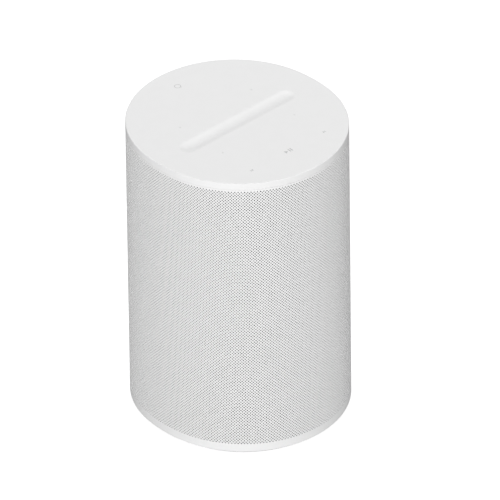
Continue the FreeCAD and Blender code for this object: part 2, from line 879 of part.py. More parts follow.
def woofer_front_plate():
    """Steel ring that forms the outside of the magnetic gap."""
    return ring(motor_radius, pole_radius + gap_width, basket_back, plate_back, 0, woofer_z)


def woofer_magnet():
    """Ferrite ring."""
    return ring(magnet_radius, magnet_bore, plate_back, magnet_back, 0, woofer_z)


def woofer_yoke():
    """Back plate with the pole."""
    plate = disc(motor_radius, magnet_back, yoke_back, 0, woofer_z)
    return fused([plate, disc(pole_radius, basket_back, yoke_back, 0, woofer_z)])


def woofer_terminals():
    """Insulating strip with two solder tags, on the basket's ear."""
    top = woofer_z + magnet_radius + ear_reach
    low = top - terminal_height
    face = basket_back + terminal_strip
    middle = (low + top) / 2
    strip = box(-terminal_width / 2, terminal_width / 2, basket_back, face, low, top)
    tags = [box(x - tag_width / 2, x + tag_width / 2, face, face + tag_length,
                middle - tag_thickness / 2, middle + tag_thickness / 2)
            for x in (-terminal_spacing / 2, terminal_spacing / 2)]
    return fused([strip] + tags)


def woofer_cone():
    """Straight-sided cone with a collar round the coil former."""
    outline = [(cone_radius - cone_rim, flange_face), (cone_radius, flange_face),
               (cone_radius, flange_face + cone_wall), (cone_radius - cone_rim, flange_face + cone_wall),
               (cone_neck_radius + cone_wall, cone_neck_y + cone_wall),
               (cone_neck_radius + cone_wall, cone_neck_y + cone_collar),
               (cone_neck_radius, cone_neck_y + cone_collar),
               (cone_neck_radius, cone_neck_y)]
    return turned_solid(polygon_edges(outline), woofer_z)


def spherical_cap_edges(radius, rise, wall, rim_y):
    """Section of a domed cap: arcs bulge towards -Y from a rim at rim_y."""
    sphere = (radius ** 2 + rise ** 2) / (2 * rise)
    half_turn = math.asin(radius / sphere) / 2
    tip = Vector(0, rim_y - rise, 0)
    tip_inner = Vector(0, rim_y - rise + wall, 0)
    middle = Vector(sphere * math.sin(half_turn), rim_y - rise + sphere * (1 - math.cos(half_turn)), 0)
    lift = Vector(0, wall, 0)
    rim = Vector(radius, rim_y, 0)
    return [Part.Arc(tip, middle, rim).toShape(),
            Part.LineSegment(rim, rim + lift).toShape(),
            Part.Arc(rim + lift, middle + lift, tip_inner).toShape(),
            Part.LineSegment(tip_inner, tip).toShape()]


def woofer_dust_cap():
    """Domed cap glued to the cone."""
    slope = cone_depth / (cone_radius - cone_rim - cone_neck_radius)
    rim_y = flange_face + (cone_radius - cone_rim - cap_radius) * slope - cap_wall - contact_gap
    return turned_solid(spherical_cap_edges(cap_radius, cap_rise, cap_wall, rim_y), woofer_z)


def woofer_voice_coil():
    """Coil former with its winding."""
    former = ring(former_outer, coil_inner, former_front, former_back, 0, woofer_z)
    winding = ring(winding_outer, former_outer, former_back - winding_height, former_back,
                   0, woofer_z)
    return fused([former, winding])


def half_roll(inner, outer, wall, base_y, lip):
    """Half-round roll between two radii, with an outer lip; it bulges towards -Y."""
    centre = (inner + outer) / 2
    big = (outer - inner) / 2
    small = big - wall
    edges = [Part.Arc(Vector(inner, base_y, 0), Vector(centre, base_y - big, 0),
                      Vector(outer - wall / 2, base_y - math.sqrt(big ** 2 - (big - wall / 2) ** 2), 0)),
             Part.Arc(Vector(centre + small, base_y, 0), Vector(centre, base_y - small, 0),
                      Vector(inner + wall, base_y, 0))]
    lip_front = edges[0].EndPoint
    lip_edge = Vector(outer + lip, lip_front.y, 0)
    lip_back = Vector(outer + lip, base_y, 0)
    shapes = [edges[0].toShape(),
              Part.LineSegment(lip_front, lip_edge).toShape(),
              Part.LineSegment(lip_edge, lip_back).toShape(),
              Part.LineSegment(lip_back, edges[1].StartPoint).toShape(),
              edges[1].toShape(),
              Part.LineSegment(edges[1].EndPoint, edges[0].StartPoint).toShape()]
    return shapes


def woofer_surround():
    """Rubber half-roll between the cone and the flange."""
    inner = cone_radius - 2 * surround_wall
    outer = woofer_bore_radius - surround_wall
    edges = half_roll(inner, outer, surround_wall, flange_face, surround_lip)
    return turned_solid(edges, woofer_z)


def woofer_spider():
    """Disc corrugated in rings that centres the coil."""
    ledge_y = basket_back - spider_above_motor
    inner = former_outer + contact_gap
    outer = motor_radius - basket_wall
    swing = 2 * spider_wall
    front = []
    for step in range(spider_waves + 1):
        radius = inner + (outer - inner - spider_ledge) * step / spider_waves
        front.append((radius, ledge_y - spider_wall - (swing if step % 2 else 0)))
    front.append((outer, ledge_y - spider_wall))
    back = [(radius, y + spider_wall) for radius, y in reversed(front)]
    return turned_solid(polygon_edges(front + back), woofer_z)


# ---------------------------------------------------------------- tweeters
def tweeter_part(edges, side):
    """Solid of revolution in a tweeter's own frame: section x is radius, y is distance from seat."""
    solid = turned_solid(edges, 0)
    upright = Rotation(Vector(0, 1, 0), tweeter_direction(side))
    solid.Placement = Placement(tweeter_direction(side) * tweeter_seat + Vector(0, 0, tweeter_z),
                                upright)
    return solid


def tweeter_waveguide(side):
    """Flared ring that seats on the facet and carries the dome's surround."""
    throat = dome_radius + tweeter_surround_width
    mouth = waveguide_radius - waveguide_rim
    middle_radius = throat + flare_share_out * (mouth - throat)
    middle_height = flare_share_up * waveguide_depth
    flare = Part.Arc(Vector(throat, waveguide_throat, 0), Vector(middle_radius, middle_height, 0),
                     Vector(mouth, waveguide_depth, 0))
    corners = [Vector(mouth, waveguide_depth, 0), Vector(waveguide_radius, waveguide_depth, 0),
               Vector(waveguide_radius, 0, 0), Vector(throat, 0, 0),
               Vector(throat, waveguide_throat, 0)]
    edges = [Part.LineSegment(a, b).toShape() for a, b in zip(corners, corners[1:])]
    horn = tweeter_part([flare.toShape()] + edges, side)
    depth = waveguide_depth + waveguide_rim
    hole = post(tweeter_screw_radius + screw_fit, 0, depth, 0, 0)
    sink = post(tweeter_screw_head + tweeter_head_gap, waveguide_seat, depth, 0, 0)
    frames = [(place, ahead) for place, ahead in tweeter_screw_frames() if place.x * side > 0]
    holes = [aimed(fused([hole, sink]), place, ahead) for place, ahead in frames]
    return only_solid(cut_all(horn, holes))


def tweeter_screws():
    """Three screws through each waveguide."""
    length = waveguide_seat + housing_wall - 2 * screw_fit
    driven = screw(length, tweeter_screw_radius, tweeter_screw_head, tweeter_screw_head_height)
    return group([aimed(driven, place + ahead * waveguide_seat, ahead)
                  for place, ahead in tweeter_screw_frames()])


def tweeter_dome(side):
    """Soft dome, whose section is the dust cap's turned to bulge away from the seat."""
    edges = spherical_cap_edges(dome_radius, dome_rise, dome_wall, 0)
    flipped = [edge.mirror(Vector(0, 0, 0), Vector(0, 1, 0)) for edge in edges]
    base = surround_back + surround_film + dome_wall
    raised = [edge.translated(Vector(0, base, 0)) for edge in flipped]
    return tweeter_part(raised, side)


def tweeter_surround(side):
    """Thin half-roll round the dome."""
    outer = dome_radius + tweeter_surround_width
    front = surround_back + surround_film
    outline = [(dome_radius, surround_back), (outer, surround_back), (outer, front),
               (dome_radius, front)]
    return tweeter_part(polygon_edges(outline), side)


def tweeter_voice_coil(side):
    """Coil that hangs from the dome into the gap."""
    front = surround_back + surround_film
    outline = [(tweeter_coil_inner, front), (tweeter_coil_outer, front),
               (tweeter_coil_outer, front - tweeter_coil_length),
               (tweeter_coil_inner, front - tweeter_coil_length)]
    return tweeter_part(polygon_edges(outline), side)


def tweeter_magnet(side):
    """Disc magnet with its pole plate."""
    floor = tweeter_yoke_floor - tweeter_yoke_depth
    front = -tweeter_pole_setback
    outline = [(0, front), (tweeter_pole_radius, front), (tweeter_pole_radius, floor), (0, floor)]
    return tweeter_part(polygon_edges(outline), side)


def tweeter_yoke(side):
    """Steel cup round the magnet."""
    back = -tweeter_yoke_depth
    outline = [(0, back), (tweeter_yoke_radius, back), (tweeter_yoke_radius, 0),
               (tweeter_gap_radius, 0), (tweeter_gap_radius, back + tweeter_yoke_floor),
               (0, back + tweeter_yoke_floor)]
    return tweeter_part(polygon_edges(outline), side)


def tweeter_rear_can(side):
    """Sealed can behind the motor."""
    back = -tweeter_can_depth
    inner = tweeter_can_radius - tweeter_can_wall
    outline = [(0, back), (tweeter_can_radius, back), (tweeter_can_radius, 0), (inner, 0),
               (inner, back + tweeter_can_wall), (0, back + tweeter_can_wall)]
    return tweeter_part(polygon_edges(outline), side)


# ---------------------------------------------------------------- rear panel and controls
def plinth_block(inset, y0, y1):
    """Rounded rectangle that stands behind the body."""
    half = plinth_half_width - inset
    block = box(-half, half, y0, y1, plinth_floor_z + inset, plinth_floor_z + plinth_height - inset)
    upright = [edge for edge in block.Edges
               if abs(edge.Vertexes[0].Y - edge.Vertexes[-1].Y) > 1e-6]
    return block.makeFillet(plinth_corner - inset, upright)


def stadium_x(half_run, radius, y0, y1, z):
    """Round-ended slot along X, cut along Y."""
    middle = box(-half_run, half_run, y0, y1, z - radius, z + radius)
    return fused([middle, disc(radius, y0, y1, -half_run, z), disc(radius, y0, y1, half_run, z)])


def socket_profile(extra, y0, y1):
    """Round-ended upright slot round the data socket's shell."""
    radius = socket_width / 2 + extra
    run = socket_height / 2 - socket_width / 2
    middle = box(-radius, radius, y0, y1, socket_z - run, socket_z + run)
    ends = [disc(radius, y0, y1, 0, socket_z + side * run) for side in (-1, 1)]
    return fused([middle] + ends)


def io_post_places():
    """(x, z) places of the posts that hold the control board."""
    x = io_board_width / 2 - io_post_margin
    low = io_board_z + io_post_margin
    high = io_board_z + io_board_height - io_post_margin
    return [(-x, low), (x, low), (-x, high), (x, high)]


def rear_panel():
    """Plain rear strip with a raised plinth for the inlet, the socket and the two controls."""
    strip = oval_ring(0, grille_wall, seam_low, seam_high - seam)
    strip = strip.common(box(-panel_half_width, panel_half_width, 0, FAR, 0, height))
    lip_half = panel_half_width + panel_lip
    lip_low = seam_low + spigot_height + panel_lip
    lips = oval_ring(grille_wall, panel_lip_wall, lip_low, frame_under - panel_lip)
    lips = lips.common(box(-lip_half, lip_half, 0, FAR, 0, height))
    plinth = plinth_block(0, rear_wall_y, plinth_face)
    rim = [edge for edge in plinth.Edges if abs(edge.CenterOfMass.y - plinth_face) < 1e-6]
    plinth = plinth.makeFillet(plinth_edge, rim)
    inner = oval(grille_wall + panel_lip_wall, 0, height)
    plinth = plinth.cut(inner)
    pocket = plinth_block(plinth_wall, rear_wall_y, plinth_inner)
    shell = fused([strip, lips, plinth]).cut(pocket)
    posts = [disc(io_post_radius, io_board_face, plinth_inner, x, z) for x, z in io_post_places()]
    shell = fused([shell] + posts)
    holes = [disc(board_screw_radius + screw_fit, io_board_face, plinth_inner - 1, x, z)
             for x, z in io_post_places()]
    nose = inlet_cavity_radius + inlet_nose_wall + control_gap
    holes.append(stadium_x(pin_spacing / 2, nose, plinth_inner, plinth_face, inlet_z))
    holes.append(socket_profile(socket_gap, plinth_inner, plinth_face))
    holes.append(disc(button_radius + control_gap, plinth_inner, plinth_face, 0, button_z))
    left = -knob_width / 2 - control_gap
    right = knob_width / 2 + knob_travel + control_gap
    half = knob_height / 2 + control_gap
    holes.append(box(left, right, plinth_inner, plinth_face, knob_z - half, knob_z + half))
    return only_solid(cut_all(shell, holes))


def power_inlet():
    """Insulating body of the two-pin mains inlet, with its round-ended cavity."""
    half = inlet_body_width / 2
    low = inlet_z - inlet_body_height / 2
    body = box(-half, half, plinth_inner - inlet_body_depth, plinth_inner, low,
               low + inlet_body_height)
    nose = stadium_x(pin_spacing / 2, inlet_cavity_radius + inlet_nose_wall,
                     plinth_inner, inlet_face, inlet_z)
    cavity = stadium_x(pin_spacing / 2, inlet_cavity_radius, cavity_floor, inlet_face, inlet_z)
    tails = [disc(pin_tail_radius + screw_fit, plinth_inner - inlet_body_depth, cavity_floor,
                  side * pin_spacing / 2, inlet_z) for side in (-1, 1)]
    return only_solid(cut_all(fused([body, nose]), [cavity] + tails))


def power_inlet_pins():
    """Two round pins with tails that reach the power board."""
    pins = []
    for side in (-1, 1):
        x = side * pin_spacing / 2
        front = disc(pin_radius, cavity_floor, cavity_floor + pin_length, x, inlet_z)
        tip = [edge for edge in front.Edges
               if abs(edge.CenterOfMass.y - cavity_floor - pin_length) < 1e-6]
        front = front.makeChamfer(pin_tip, tip)
        tail = disc(pin_tail_radius, board_back, cavity_floor, x, inlet_z)
        pins.append(fused([front, tail]))
    return group(pins)


def io_board():
    """Small board behind the rear controls."""
    half = io_board_width / 2
    plate = box(-half, half, io_board_back, io_board_face, io_board_z, io_board_z + io_board_height)
    holes = [disc(board_screw_radius + screw_fit, io_board_back, io_board_face, x, z)
             for x, z in io_post_places()]
    return cut_all(plate, holes)


def data_socket():
    """Upright oval data socket: pressed shell with a tongue on an insulating floor."""
    face = plinth_face - socket_recess
    hollow = socket_profile(-socket_shell, io_board_face + socket_floor, face)
    shell = socket_profile(0, io_board_face, face).cut(hollow)
    half = socket_height / 2 - socket_width / 2
    tongue = box(-socket_tongue / 2, socket_tongue / 2, io_board_face + socket_floor,
                 face - socket_tongue_recess, socket_z - half, socket_z + half)
    return fused([shell, tongue])


def io_switches():
    """Push switch behind the button and slide switch behind the knob."""
    half = tact_size / 2
    tact = box(-half, half, io_board_face, io_board_face + tact_height, button_z - half,
               button_z + half)
    slide = box(-half, half + knob_travel, io_board_face, io_board_face + slide_switch_height,
                knob_z - half, knob_z + half)
    return group([tact, slide])


def pairing_button():
    """Round push button with a retaining flange and a stem."""
    face = plinth_face - button_recess
    flange_front = plinth_inner - contact_gap
    cap = disc(button_radius, flange_front - button_flange, face, 0, button_z)
    flange = disc(button_radius + button_flange_extra, flange_front - button_flange, flange_front,
                  0, button_z)
    stem_end = io_board_face + tact_height + button_travel + contact_gap
    stem = disc(button_stem_radius, stem_end, flange_front, 0, button_z)
    return fused([cap, flange, stem])


def mic_switch_knob():
    """Slide knob that switches the microphones off; it rests at its left end."""
    face = plinth_face - knob_recess
    flange_front = plinth_inner - contact_gap
    flange_back = flange_front - knob_flange
    half_x = knob_width / 2
    half_z = knob_height / 2
    tab = box(-half_x, half_x, flange_back, face, knob_z - half_z, knob_z + half_z)
    extra = knob_flange_extra
    flange = box(-half_x - extra, half_x + extra, flange_back, flange_front,
                 knob_z - half_z - extra, knob_z + half_z + extra)
    stem_half = knob_stem / 2
    stem = box(-stem_half, stem_half, io_board_face + slide_switch_height + contact_gap,
               flange_front, knob_z - stem_half, knob_z + stem_half)
    return fused([tab, flange, stem])


# ---------------------------------------------------------------- electronics
def spreader_pads():
    """(x, z) places of the pads that hold the heat spreader."""
    x = spreader_width / 2 - stud_margin
    low = spreader_floor + middle_stud_margin
    high = spreader_floor + spreader_height - middle_stud_margin
    return [(-x, low), (x, low), (-x, high), (x, high)]


def board_studs(floor, tall):
    """(x, z) places of a board's four studs."""
    x = circuit_board_width / 2 - stud_margin
    return [(-x, floor + stud_margin), (x, floor + stud_margin),
            (-x, floor + tall - stud_margin), (x, floor + tall - stud_margin)]


def all_board_studs():
    """(x, z) places of the studs of both large boards."""
    return (board_studs(main_board_z, main_board_height)
            + board_studs(power_board_z, power_board_height))


def heat_spreader():
    """Aluminium plate with studs for both boards."""
    half = spreader_width / 2
    plate = box(-half, half, spreader_front, spreader_back, spreader_floor,
                spreader_floor + spreader_height)
    studs = [disc(stud_radius, spreader_back, board_front, x, z) for x, z in all_board_studs()]
    holes = [disc(board_screw_radius + screw_fit, spreader_back, board_front, x, z)
             for x, z in all_board_studs()]
    return cut_all(fused([plate] + studs), holes)


def circuit_board(floor, tall):
    """Plain board with a hole over each stud."""
    half = circuit_board_width / 2
    plate = box(-half, half, board_front, board_back, floor, floor + tall)
    holes = [disc(board_screw_radius + screw_fit, board_front, board_back, x, z)
             for x, z in board_studs(floor, tall)]
    return cut_all(plate, holes)


def main_board():
    """Processor, radio and amplifier board."""
    return circuit_board(main_board_z, main_board_height)


def power_board():
    """Mains power supply board."""
    return circuit_board(power_board_z, power_board_height)


def board_screws():
    """Screws of both large boards and of the control board."""
    driven = screw(stud_height, board_screw_radius, board_screw_head, board_screw_head_height)
    screws = [aimed(driven, (x, board_back, z), (0, 1, 0)) for x, z in all_board_studs()]
    screws += [aimed(driven, (x, io_board_back, z), (0, -1, 0)) for x, z in io_post_places()]
    return group(screws)


def chip(x, z, wide, tall):
    """Flat package on the main board's rear face; x and z count from the board's lower middle."""
    z0 = main_board_z + z
    return box(x - wide / 2, x + wide / 2, board_back, board_back + chip_height,
               z0 - tall / 2, z0 + tall / 2)


def main_board_chips():
    """Processor, memory, amplifiers and the radio module."""
    processor = chip(processor_x, lower_row, processor_size, processor_size)
    memory = chip(memory_x, lower_row, memory_width, memory_height)
    radio = chip(radio_x, upper_row, radio_size, radio_size)
    step = amplifier_spacing / 2
    amplifiers = [chip(amplifier_x + side * step, upper_row, amplifier_size, amplifier_size)
                  for side in (-1, 1)]
    return group([processor, memory, radio] + amplifiers)


def square_block(x, z, size, y0, y1):
    """Block with a square face, centred on a main-board place."""
    half = size / 2
    z0 = main_board_z + z
    return box(x - half, x + half, y0, y1, z0 - half, z0 + half)


def rf_shield():
    """Pressed can over the radio module."""
    lid = board_back + shield_height
    can = square_block(radio_x, upper_row, shield_size, board_back, lid)
    hollow = square_block(radio_x, upper_row, shield_size - 2 * shield_wall, board_back,
                          lid - shield_wall)
    return can.cut(hollow)


def thermal_pads():
    """Soft pads between the main board and the heat spreader."""
    return group([square_block(x, z, thermal_pad_size, spreader_back, board_front)
                  for x, z in ((processor_x, lower_row), (amplifier_x, upper_row))])


def power_transformer():
    """Switching transformer on the power board."""
    top = power_board_z + power_board_height - power_part_margin
    low = top - transformer_height
    right = -power_part_gap
    left = right - transformer_width
    back = board_back + transformer_depth
    core = box(left, right, board_back, back, low, top)
    cheek = transformer_height / 4
    steps = [box(left, right, back - transformer_step, back, low, low + cheek),
             box(left, right, back - transformer_step, back, top - cheek, top)]
    return cut_all(core, steps)


def power_capacitors():
    """Two electrolytic capacitors on the power board."""
    top = power_board_z + power_board_height - power_part_margin - capacitor_radius
    step = 2 * capacitor_radius + capacitor_gap
    end = board_back + capacitor_length
    cans = []
    for row in range(2):
        can = disc(capacitor_radius, board_back, end, capacitor_radius + power_part_gap,
                   top - step * row)
        rim = [edge for edge in can.Edges if abs(edge.CenterOfMass.y - end) < 1e-6]
        cans.append(can.makeFillet(capacitor_edge, rim))
    return group(cans)


# ---------------------------------------------------------------- the whole object
def tweeters():
    """Both tweeters' nodes, by name."""
    makers = {"waveguide": tweeter_waveguide, "surround": tweeter_surround, "dome": tweeter_dome,
              "voice_coil": tweeter_voice_coil, "magnet": tweeter_magnet, "yoke": tweeter_yoke,
              "rear_can": tweeter_rear_can}
    nodes = {}
    for name, side in (("left", -1), ("right", 1)):
        for piece, make in makers.items():
            nodes[f"{name}_tweeter_{piece}"] = make(side)
    return nodes


def build_all():
    """Every node's shape, by name."""
    makers = [top_cover, touch_board, microphones, microphone_gaskets, top_frame, top_screws,
              radio_antennas, grille, rear_panel, base_cover, base_screws, foot_pad,
              front_housing, rear_housing, housing_gasket, housing_screws, damping_foam,
              woofer_frame, woofer_gasket, woofer_surround, woofer_spider, woofer_front_plate,
              woofer_magnet, woofer_yoke, woofer_terminals, woofer_screws, woofer_cone,
              woofer_dust_cap, woofer_voice_coil, tweeter_screws, heat_spreader, thermal_pads,
              main_board, main_board_chips, rf_shield, power_board, power_transformer,
              power_capacitors, board_screws, power_inlet, power_inlet_pins, io_board,
              data_socket, io_switches, pairing_button, mic_switch_knob]
    nodes = {make.__name__: make() for make in makers}
    nodes.update(tweeters())
    return nodes


os.makedirs("parts", exist_ok=True)
for node, shape in build_all().items():
    shape.exportStep(f"parts/{node}.step")
    print(f"{node}: {len(shape.Solids)} solids, {shape.Volume:.0f} mm3, valid {shape.isValid()}")
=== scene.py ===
"""The looks of a table-top smart speaker, built round its packed construction.

Units are metres, in the construction's own frame: the origin is the middle of the foot's
underside, +Z is up, the front faces -Y and the connector panel faces +Y.  The perforated
grille and the drivers' suspensions are modelled here, every other piece is the construction's
own, and each kind of part has a finish of its own.
"""
import json
import math

import bpy
import numpy as np
from mathutils import Matrix, Vector


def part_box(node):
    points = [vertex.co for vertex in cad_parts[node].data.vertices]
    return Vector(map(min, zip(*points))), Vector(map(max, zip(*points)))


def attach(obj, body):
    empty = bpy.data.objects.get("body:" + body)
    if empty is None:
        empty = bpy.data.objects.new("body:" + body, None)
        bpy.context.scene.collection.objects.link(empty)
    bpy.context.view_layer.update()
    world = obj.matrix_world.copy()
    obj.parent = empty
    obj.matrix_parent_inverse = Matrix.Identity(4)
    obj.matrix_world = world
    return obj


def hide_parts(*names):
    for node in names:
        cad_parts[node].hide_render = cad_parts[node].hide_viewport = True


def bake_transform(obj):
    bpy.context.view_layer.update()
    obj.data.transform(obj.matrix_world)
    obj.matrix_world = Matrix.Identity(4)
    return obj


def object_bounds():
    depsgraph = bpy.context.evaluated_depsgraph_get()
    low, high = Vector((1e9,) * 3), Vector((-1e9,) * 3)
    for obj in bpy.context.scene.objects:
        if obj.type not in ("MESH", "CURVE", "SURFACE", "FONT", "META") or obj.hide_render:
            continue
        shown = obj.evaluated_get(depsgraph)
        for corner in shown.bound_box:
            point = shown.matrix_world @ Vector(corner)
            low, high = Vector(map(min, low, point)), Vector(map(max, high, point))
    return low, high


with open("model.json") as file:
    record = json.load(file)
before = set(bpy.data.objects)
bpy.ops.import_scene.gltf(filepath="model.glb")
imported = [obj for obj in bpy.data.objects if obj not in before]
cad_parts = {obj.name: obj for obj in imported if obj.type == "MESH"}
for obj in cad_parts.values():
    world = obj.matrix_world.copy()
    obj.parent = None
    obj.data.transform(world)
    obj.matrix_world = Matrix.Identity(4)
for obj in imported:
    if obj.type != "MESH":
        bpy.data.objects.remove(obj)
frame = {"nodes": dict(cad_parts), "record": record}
cad_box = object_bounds()

MM = 0.001
SHARP = math.radians(50.0)       # edges that turn by more than this are drawn sharp

# ---------------------------------------------------------------- body
SIDE_EXTRA_RADIUS = 20.9 * MM    # how much larger the side arcs' radius is than the end arcs'
TRAY_FLOOR = 4.3                 # height of the base tray's floor inside, in mm
TRAY_WALL = 1.6                  # from the body's outline to the tray's inside, in mm
PAINTED_SHADE_BLACK = 0.04               # painted shade: near black inside, standing in for the shade behind the holes, so that nothing pale shows through them
SHADE_SEAM_LAP = 0.03                  # how far the painted shade on a spigot stays clear of its seam, in mm

# ---------------------------------------------------------------- grille
HOLE_PITCH = 1.786 * MM          # between neighbours in one row
ROW_PITCH = 0.94 * MM            # between rows; every other row is shifted by half a pitch
HOLE_ROWS = 181
HOLE_RADIUS = 0.4 * MM
HOLE_FLARE = 1.2                 # the holes are this much wider inside
HOLE_SIDES = 8
HOLE_SHADE_DEPTH = 0.7                 # share of the sheet's depth where the painted shade on the holes' walls turns black
EDGE_MARGIN = 1.0 * MM           # plain strip along each rear edge
SHEET = 1.2 * MM                 # wall thickness
PANELS = 8                       # the grille is made in this many upright strips

# ---------------------------------------------------------------- suspensions
# Radii and heights are in mm; radii count from the driver's axis.
WOOFER_ROLL = 29.8, 36.4         # inner and outer radius of the woofer's rubber half roll
WOOFER_SECTORS = 24
ROLL_WALL = 0.6
ROLL_STEPS = 24                  # points along a half roll's section
SPIDER_FOLDS = 12.55, 22.0       # the corrugated part of the cloth disc that centres the coil
SPIDER_SECTORS = 16
SPIDER_WAVES = 6                 # half waves of its corrugation
SPIDER_STEPS = 8                 # points along each half wave
SPIDER_WALL = 0.5
DOME_ROLL = 7.56, 8.6            # stands just clear of the tweeter's dome, which slides by it
DOME_ROLL_HEIGHT = 0.4
DOME_ROLL_WALL = 0.12
TURN_STEP = math.radians(3.75)   # between the sections of a turned shell

# ---------------------------------------------------------------- printed marks
# Lengths are in mm, greys are shares of the light returned.
PRINT_GREY = 0.55
PANEL_PRINT_GREY = 0.45
PRINT_SOFTNESS = 0.04            # width of the print's soft edge
SKIN = 0.5                       # the print lies within this depth under the face it is on
FRONT_MARKS = 22.1               # from the front of the body to the row of marks
SIDE_MARKS = 27.5                # from the middle to the marks on either side
REAR_MARK = 14.8                 # from the back of the body to the voice mark
PANEL_MARKS = 11.0               # from the panel's middle to the marks beside the controls
PORT_SEAT = 2.6                  # radius of the gasket under each microphone port
PORT_SHADE_RADIUS = 0.7                  # radius of the painted shade round each port
# grey of the painted shade round each port
PORT_SHADE_GREY = 0.78

# ---------------------------------------------------------------- camera
AZIMUTH = math.radians(-42.75)
ELEVATION = math.radians(34.38)
ROLL = math.radians(-0.725)
CAMERA_DISTANCE = 8.278
LENS = 1068.0                    # long, so the sides look almost parallel
SLIDE_RIGHT = 6.18 * MM          # the object stands a little left of and below the middle
SLIDE_UP = 3.84 * MM

# ---------------------------------------------------------------- light
SKY = 0.41                       # even light from all round
LAMP_DISTANCE = 7.0
LAMP_SIZE = 3.2
# Azimuth and elevation in degrees, and the light on a surface that faces it, as a share of white.
LAMPS = {"key": (-47.0, 14.0, 0.78), "back": (132.0, 50.0, 0.485), "fill": (75.0, 15.0, 0.06)}
FLOOR_SIZE = 40.0
FLOOR_GREY = 0.32
FLOOR_GLOW = 0.9                 # the floor's own white where it is seen


# ---------------------------------------------------------------- plan outline
half_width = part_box("grille")[1].x
half_depth = -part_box("top_cover")[0].y


def oval_arcs():
    """Radii and centre offsets of the four tangent arcs of the plan.

    The end arcs reach half_depth, the side arcs reach half_width, and the two kinds meet where
    their centres are in line: the end arc's shift solves that as a quadratic equation.
    """
    reach = half_width - half_depth - SIDE_EXTRA_RADIUS
    shift = (-reach - math.sqrt(2 * SIDE_EXTRA_RADIUS ** 2 - reach ** 2)) / 2
    end = half_depth - shift
    side_shift = math.sqrt(SIDE_EXTRA_RADIUS ** 2 - shift ** 2)
    join = math.atan2(side_shift, shift)
    return end, shift, end + SIDE_EXTRA_RADIUS, side_shift, join


END_RADIUS, END_SHIFT, SIDE_RADIUS, SIDE_SHIFT, JOIN_TURN = oval_arcs()
TURNS = np.array([0, JOIN_TURN, math.pi - JOIN_TURN, math.pi])
RUNS = np.cumsum([0, END_RADIUS * JOIN_TURN, SIDE_RADIUS * (math.pi - 2 * JOIN_TURN),
                  END_RADIUS * JOIN_TURN])


def outline(run, inset=0.0):
    """Points and outward normals of the plan, by the distance run along it from the front middle.

    The normal turns in proportion to the distance, at a rate of one over the arc's radius.  A
    point is its arc's centre plus the arc's radius, less the inset, times the normal.  Negative
    distances run the other way round, as the mirror image.
    """
    side = np.where(run < 0, -1.0, 1.0)
    turn = np.interp(np.abs(run), RUNS, TURNS)
    front = turn < JOIN_TURN
    rear = turn > math.pi - JOIN_TURN
    radius = np.where(front | rear, END_RADIUS, SIDE_RADIUS) - inset
    centre_x = np.where(front | rear, 0.0, -SIDE_SHIFT)
    centre_y = np.where(front, -END_SHIFT, np.where(rear, END_SHIFT, 0.0))
    x = centre_x + radius * np.sin(turn)
    y = centre_y - radius * np.cos(turn)
    return np.stack([side * x, y], -1), np.stack([side * np.sin(turn), -np.cos(turn)], -1)


def run_to(x, inset):
    """Distance along the plan to the rear arc's point that stands x from the middle."""
    return np.interp(math.pi - math.asin(x / (END_RADIUS - inset)), TURNS, RUNS)


# ---------------------------------------------------------------- meshes
def new_mesh(name, points, quads, triangles, corners=None):
    """Smooth mesh from an array of points and arrays of four- and three-cornered faces.

    The corners are the faces' places in the bake map, in the same order.
    """
    mesh = bpy.data.meshes.new(name)
    loops = np.concatenate([quads.ravel(), triangles.ravel()]).astype(np.int32)
    sizes = np.concatenate([np.full(len(quads), 4), np.full(len(triangles), 3)])
    mesh.vertices.add(len(points))
    mesh.vertices.foreach_set("co", points.astype(np.float32).ravel())
    mesh.loops.add(len(loops))
    mesh.loops.foreach_set("vertex_index", loops)
    mesh.polygons.add(len(sizes))
    mesh.polygons.foreach_set("loop_start", (np.cumsum(sizes) - sizes).astype(np.int32))
    if corners is not None:
        layer = mesh.uv_layers.new(name="OFBake")
        places = np.concatenate([corners[0].reshape(-1, 2), corners[1].reshape(-1, 2)])
        layer.uv.foreach_set("vector", places.astype(np.float32).ravel())
    mesh.update(calc_edges=True)
    mesh.validate()
    mesh.polygons.foreach_set("use_smooth", np.ones(len(sizes), bool))
    mesh.set_sharp_from_angle(angle=SHARP)
    return mesh


def new_piece(mesh, finish, node):
    """Object for a mesh that stands for a construction node and wears a finish."""
    piece = bpy.data.objects.new(mesh.name, mesh)
    bpy.context.scene.collection.objects.link(piece)
    mesh.materials.append(finish.material)
    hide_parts(node)
    return piece


# ---------------------------------------------------------------- grille
def grille_grid():
    """Lines of the grille's brick grid, as distances along the plan and heights.

    Upright lines stand half a hole pitch apart between two plain margins, and level lines one
    row pitch apart, with a plain strip above and below.  Returns both, the number of holes in a
    row, and the half width of the rear opening.
    """
    low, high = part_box("grille")
    sleeve = np.array([v.co for v in frame["nodes"]["grille"].data.vertices])
    # the rear points that are nearest to the middle stand on the opening's edges
    rear = sleeve[sleeve[:, 1] > 0.8 * half_depth]
    opening = np.abs(rear[:, 0]).min()
    end = run_to(opening, 0.0)
    room = 2 * (end - EDGE_MARGIN)
    count = int(room / HOLE_PITCH - 0.5)
    uprights = np.linspace(-room / 2, room / 2, 2 * count + 2)
    uprights = np.concatenate([[-end], uprights, [end]])
    rise = HOLE_ROWS * ROW_PITCH
    first = (low.z + high.z - rise) / 2
    levels = first + ROW_PITCH * np.arange(HOLE_ROWS + 1)
    levels = np.concatenate([[low.z], levels, [high.z]])
    return uprights, levels, count, opening


